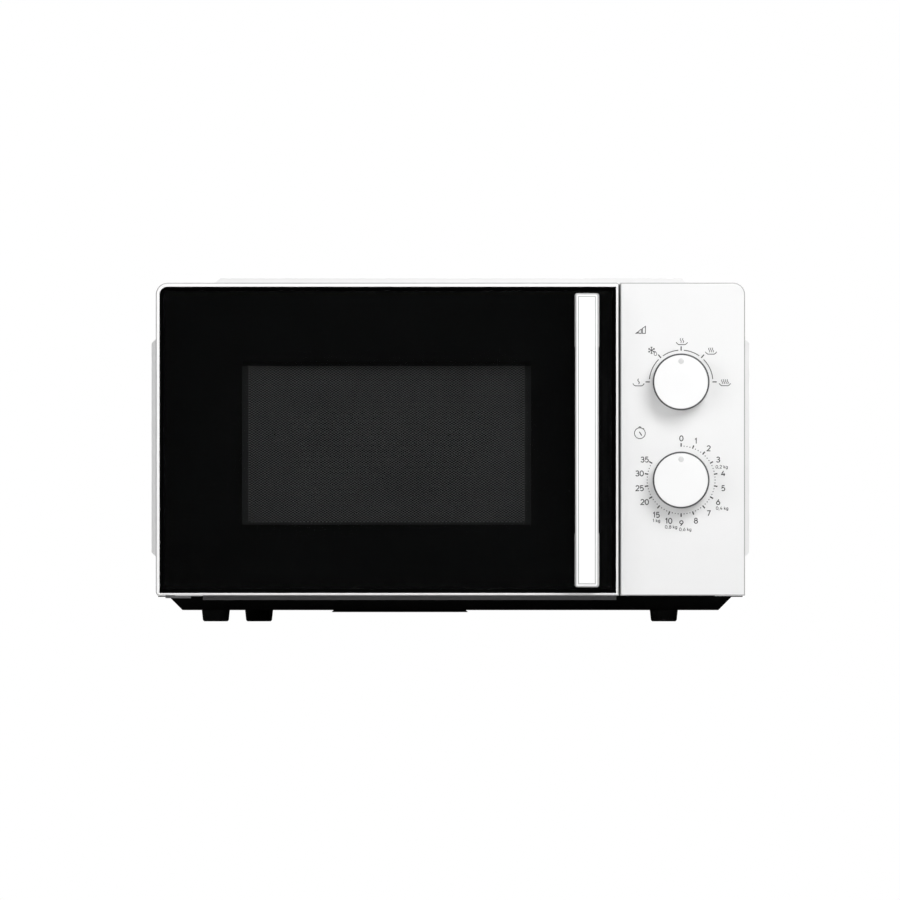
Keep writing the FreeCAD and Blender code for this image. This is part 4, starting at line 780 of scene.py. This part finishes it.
def letters(bm, place, text, x, y, height, width):
    """Printed characters of even stroke width, centred on (x, y), in millimetres."""
    length = sum(GLYPHS[character][0] + GLYPH_GAP for character in text) - GLYPH_GAP
    pen = -length / 2
    for character in text:
        advance, strokes = GLYPHS[character]
        for stroke in strokes:
            points = [(x + (pen + px) * height, y + (py - 0.5) * height) for px, py in stroke]
            line(bm, place, points, width, closed=len(stroke) == 21)
        pen += advance + GLYPH_GAP


def steam_icon(bm, place, x, y, waves):
    """A shallow dish, its bottom at (x, y), with a number of rising waves of steam."""
    line(bm, place, [(x - 4.3, y + 1.8), (x - 3.5, y + 0.7), (x - 2.4, y), (x + 2.4, y), (x + 3.5, y + 0.7),
                     (x + 4.3, y + 1.8)], 0.58)
    pitch = 1.75 if waves < 3 else 1.42
    rise = 4.0 if waves == 1 else 3.4
    sway = 0.55 if waves == 1 else 0.42
    steps = 12
    for i in range(waves):
        centre = x + (i - (waves - 1) / 2) * pitch
        wave = [(centre + sway * math.sin(2 * math.pi * k / steps), y + 1.4 + rise * k / steps)
                for k in range(steps + 1)]
        line(bm, place, wave, 0.62 if waves == 1 else 0.50)


def snowflake(bm, place, x, y):
    """Six-armed snow crystal with a small drop beside it."""
    for k in range(6):
        tip = polar(2.7, 60 * k)
        line(bm, place, [(x, y), (x + tip[0], y + tip[1])], 0.5)
        root = polar(1.5, 60 * k)
        for turn in (-14, 14):
            end = polar(2.6, 60 * k + turn)
            line(bm, place, [(x + root[0], y + root[1]), (x + end[0], y + end[1])], 0.42)
    drop = oval(x + 3.0, y - 2.9, 1.05, 1.05, 60, 300, 14) + [(x + 3.0, y - 0.9)]
    line(bm, place, drop, 0.42, closed=True)


def power_wedge(bm, place, x, y):
    """Three bars of rising height, the first one filled and the others outlined."""
    slope = 0.71
    prism(bm, [(px * MM, py * MM) for px, py in
               ((x, y), (x + 2.3, y), (x + 2.5, y + 2.5 * slope))], place, INK_LOW, INK_HIGH)
    for left, right in ((2.95, 4.85), (5.75, 7.95)):
        line(bm, place, [(x + left, y + 0.2), (x + right, y + 0.2),
                         (x + right + 0.1, y + right * slope - 0.1), (x + left, y + left * slope - 0.1)],
             0.55, closed=True)


def power_markings():
    """Arc, five ticks, four dish symbols, the defrost sign and the power wedge."""
    bm = bmesh.new()
    place = facing(POWER_CENTRE.x, FRONT_Y, POWER_CENTRE.z)
    ticks = (-90, -40, 0, 40, 90)
    for first, second in zip(ticks, ticks[1:]):
        line(bm, place, arc(POWER_ARC, first + 5, second - 5, 24), 0.62)
    for tick in ticks:
        line(bm, place, [polar(23.7, tick), polar(26.9, tick)], 0.85)
    for waves, (x, y) in ((1, (-32.2, -3.0)), (2, (0.6, 28.2)), (3, (22.6, 21.0)), (4, (33.1, -2.9))):
        steam_icon(bm, place, x, y, waves)
    snowflake(bm, place, -22.4, 23.9)
    power_wedge(bm, place, -35.0, 36.5)
    piece("power_markings", mesh_of(bm, "power_markings"), "case", MARKING)


def timer_markings():
    """Minute ticks and numbers, weight marks and a stopwatch."""
    bm = bmesh.new()
    place = facing(TIMER_CENTRE.x, FRONT_Y, TIMER_CENTRE.z)
    labels = ("0", "1", "2", "3", "4", "5", "6", "7", "8", "9", "10", "15", "20", "25", "30", "35")
    nudge = {"10": (1.6, -0.2), "15": (1.8, -1.2)}
    for i, label in enumerate(labels):
        angle = 20 * i
        line(bm, place, [polar(25.2, angle), polar(27.9, angle)], 0.95)
        x, y = polar(NUMBER_RING, angle)
        across, up = nudge.get(label, (0.2, 0.0))
        letters(bm, place, label, x + across, y - 0.6 + up, NUMBER_HEIGHT, 0.70)
        if i < len(labels) - 1:
            for step in (5, 10, 15):
                disc(bm, place, *polar(TIMER_DOT_RING, angle + step), 0.4)
    for text, x, y in (("0,2 kg", 30.7, 10.0), ("0,4 kg", 31.0, -21.3), ("0,6 kg", 3.1, -37.3),
                       ("0,8 kg", -7.6, -35.5), ("1 kg", -18.7, -30.7)):
        letters(bm, place, text, x, y, WEIGHT_HEIGHT, 0.40)
    x, y = -31.2, 35.4
    line(bm, place, oval(x, y, 4.1, 4.1, 0, 342), 0.55, closed=True)
    line(bm, place, [(x - 0.45, y + 1.1), (x + 1.4, y - 1.8)], 0.75)
    line(bm, place, [(x - 1.0, y + 4.3), (x, y + 5.0), (x + 1.0, y + 4.3)], 0.5)
    line(bm, place, [(x + 2.4, y + 3.6), (x + 3.0, y + 3.1)], 0.8)
    piece("timer_markings", mesh_of(bm, "timer_markings"), "case", MARKING)


power_markings()
timer_markings()


# ---------------------------------------------------------------- stage, light and camera
def floor():
    """Plain pale floor under the oven."""
    material = surface("floor", (0.86, 0.86, 0.86), 0.7, grain_mm=6.0, bump=0.02, spread=0.01)
    bm = bmesh.new()
    bmesh.ops.create_grid(bm, x_segments=1, y_segments=1, size=6.0)
    mesh = bpy.data.meshes.new("floor")
    bm.to_mesh(mesh)
    bm.free()
    mesh.materials.append(material)
    plane = bpy.data.objects.new("floor", mesh)
    plane.location.z = CAD_BOX[0][2] - 0.2 * MM
    bpy.context.scene.collection.objects.link(plane)


def studio_world():
    """Even white surroundings that look dim in reflections near the horizon, as in a black-flagged studio."""
    world = bpy.data.worlds.new("studio")
    bpy.context.scene.world = world
    world.use_nodes = True
    nodes, links = world.node_tree.nodes, world.node_tree.links
    nodes.clear()
    out = nodes.new("ShaderNodeOutputWorld")
    place = nodes.new("ShaderNodeTexCoord")
    split = nodes.new("ShaderNodeSeparateXYZ")
    links.new(place.outputs["Generated"], split.inputs["Vector"])
    rise = nodes.new("ShaderNodeMapRange")
    rise.interpolation_type = "SMOOTHSTEP"
    rise.inputs["From Min"].default_value = 0.10
    rise.inputs["From Max"].default_value = 0.75
    rise.inputs["To Min"].default_value = 0.02
    rise.inputs["To Max"].default_value = 0.9
    links.new(split.outputs["Z"], rise.inputs["Value"])
    glossy = nodes.new("ShaderNodeBackground")
    glossy.inputs["Color"].default_value = (1, 1, 1, 1)
    links.new(rise.outputs["Result"], glossy.inputs["Strength"])
    soft = nodes.new("ShaderNodeBackground")
    soft.inputs["Color"].default_value = (1, 1, 1, 1)
    soft.inputs["Strength"].default_value = 0.16
    seen = nodes.new("ShaderNodeBackground")
    seen.inputs["Color"].default_value = (1, 1, 1, 1)
    seen.inputs["Strength"].default_value = 1.0
    path = nodes.new("ShaderNodeLightPath")
    first = nodes.new("ShaderNodeMixShader")
    links.new(path.outputs["Is Diffuse Ray"], first.inputs[0])
    links.new(glossy.outputs[0], first.inputs[1])
    links.new(soft.outputs[0], first.inputs[2])
    second = nodes.new("ShaderNodeMixShader")
    links.new(path.outputs["Is Camera Ray"], second.inputs[0])
    links.new(first.outputs[0], second.inputs[1])
    links.new(seen.outputs[0], second.inputs[2])
    links.new(second.outputs[0], out.inputs["Surface"])


def area_light(name, place, size, power, mirrored=True):
    """Square soft box aimed at the middle of the oven; it can be kept out of mirror reflections."""
    light = bpy.data.lights.new(name, "AREA")
    light.size = size
    light.energy = power
    lamp = bpy.data.objects.new(name, light)
    lamp.location = place
    lamp.visible_glossy = mirrored
    lamp.visible_transmission = mirrored
    aim = Vector((0, 0, 0.13)) - Vector(place)
    lamp.rotation_euler = aim.to_track_quat("-Z", "Y").to_euler()
    bpy.context.scene.collection.objects.link(lamp)


def camera():
    """Level camera square to the front, far away, with the oven a little above the middle."""
    data = bpy.data.cameras.new("camera")
    data.type = "ORTHO"
    data.ortho_scale = 0.6807
    cam = bpy.data.objects.new("camera", data)
    cam.location = (-0.0003, -4.0, 0.1296)
    cam.rotation_euler = (math.radians(90), 0, 0)
    data.clip_end = 50.0
    bpy.context.scene.collection.objects.link(cam)
    bpy.context.scene.camera = cam


floor()
studio_world()
area_light("key", (0.62, -1.5, 0.85), 0.8, 17.0)
area_light("fill", (-1.25, -2.1, 0.35), 1.6, 20.0, mirrored=False)
area_light("top", (0.0, 0.4, 2.2), 1.4, 2.5)
area_light("rear", (-0.6, 2.2, 1.2), 1.6, 20.0)
camera()
bpy.context.scene.view_settings.view_transform = "Standard"
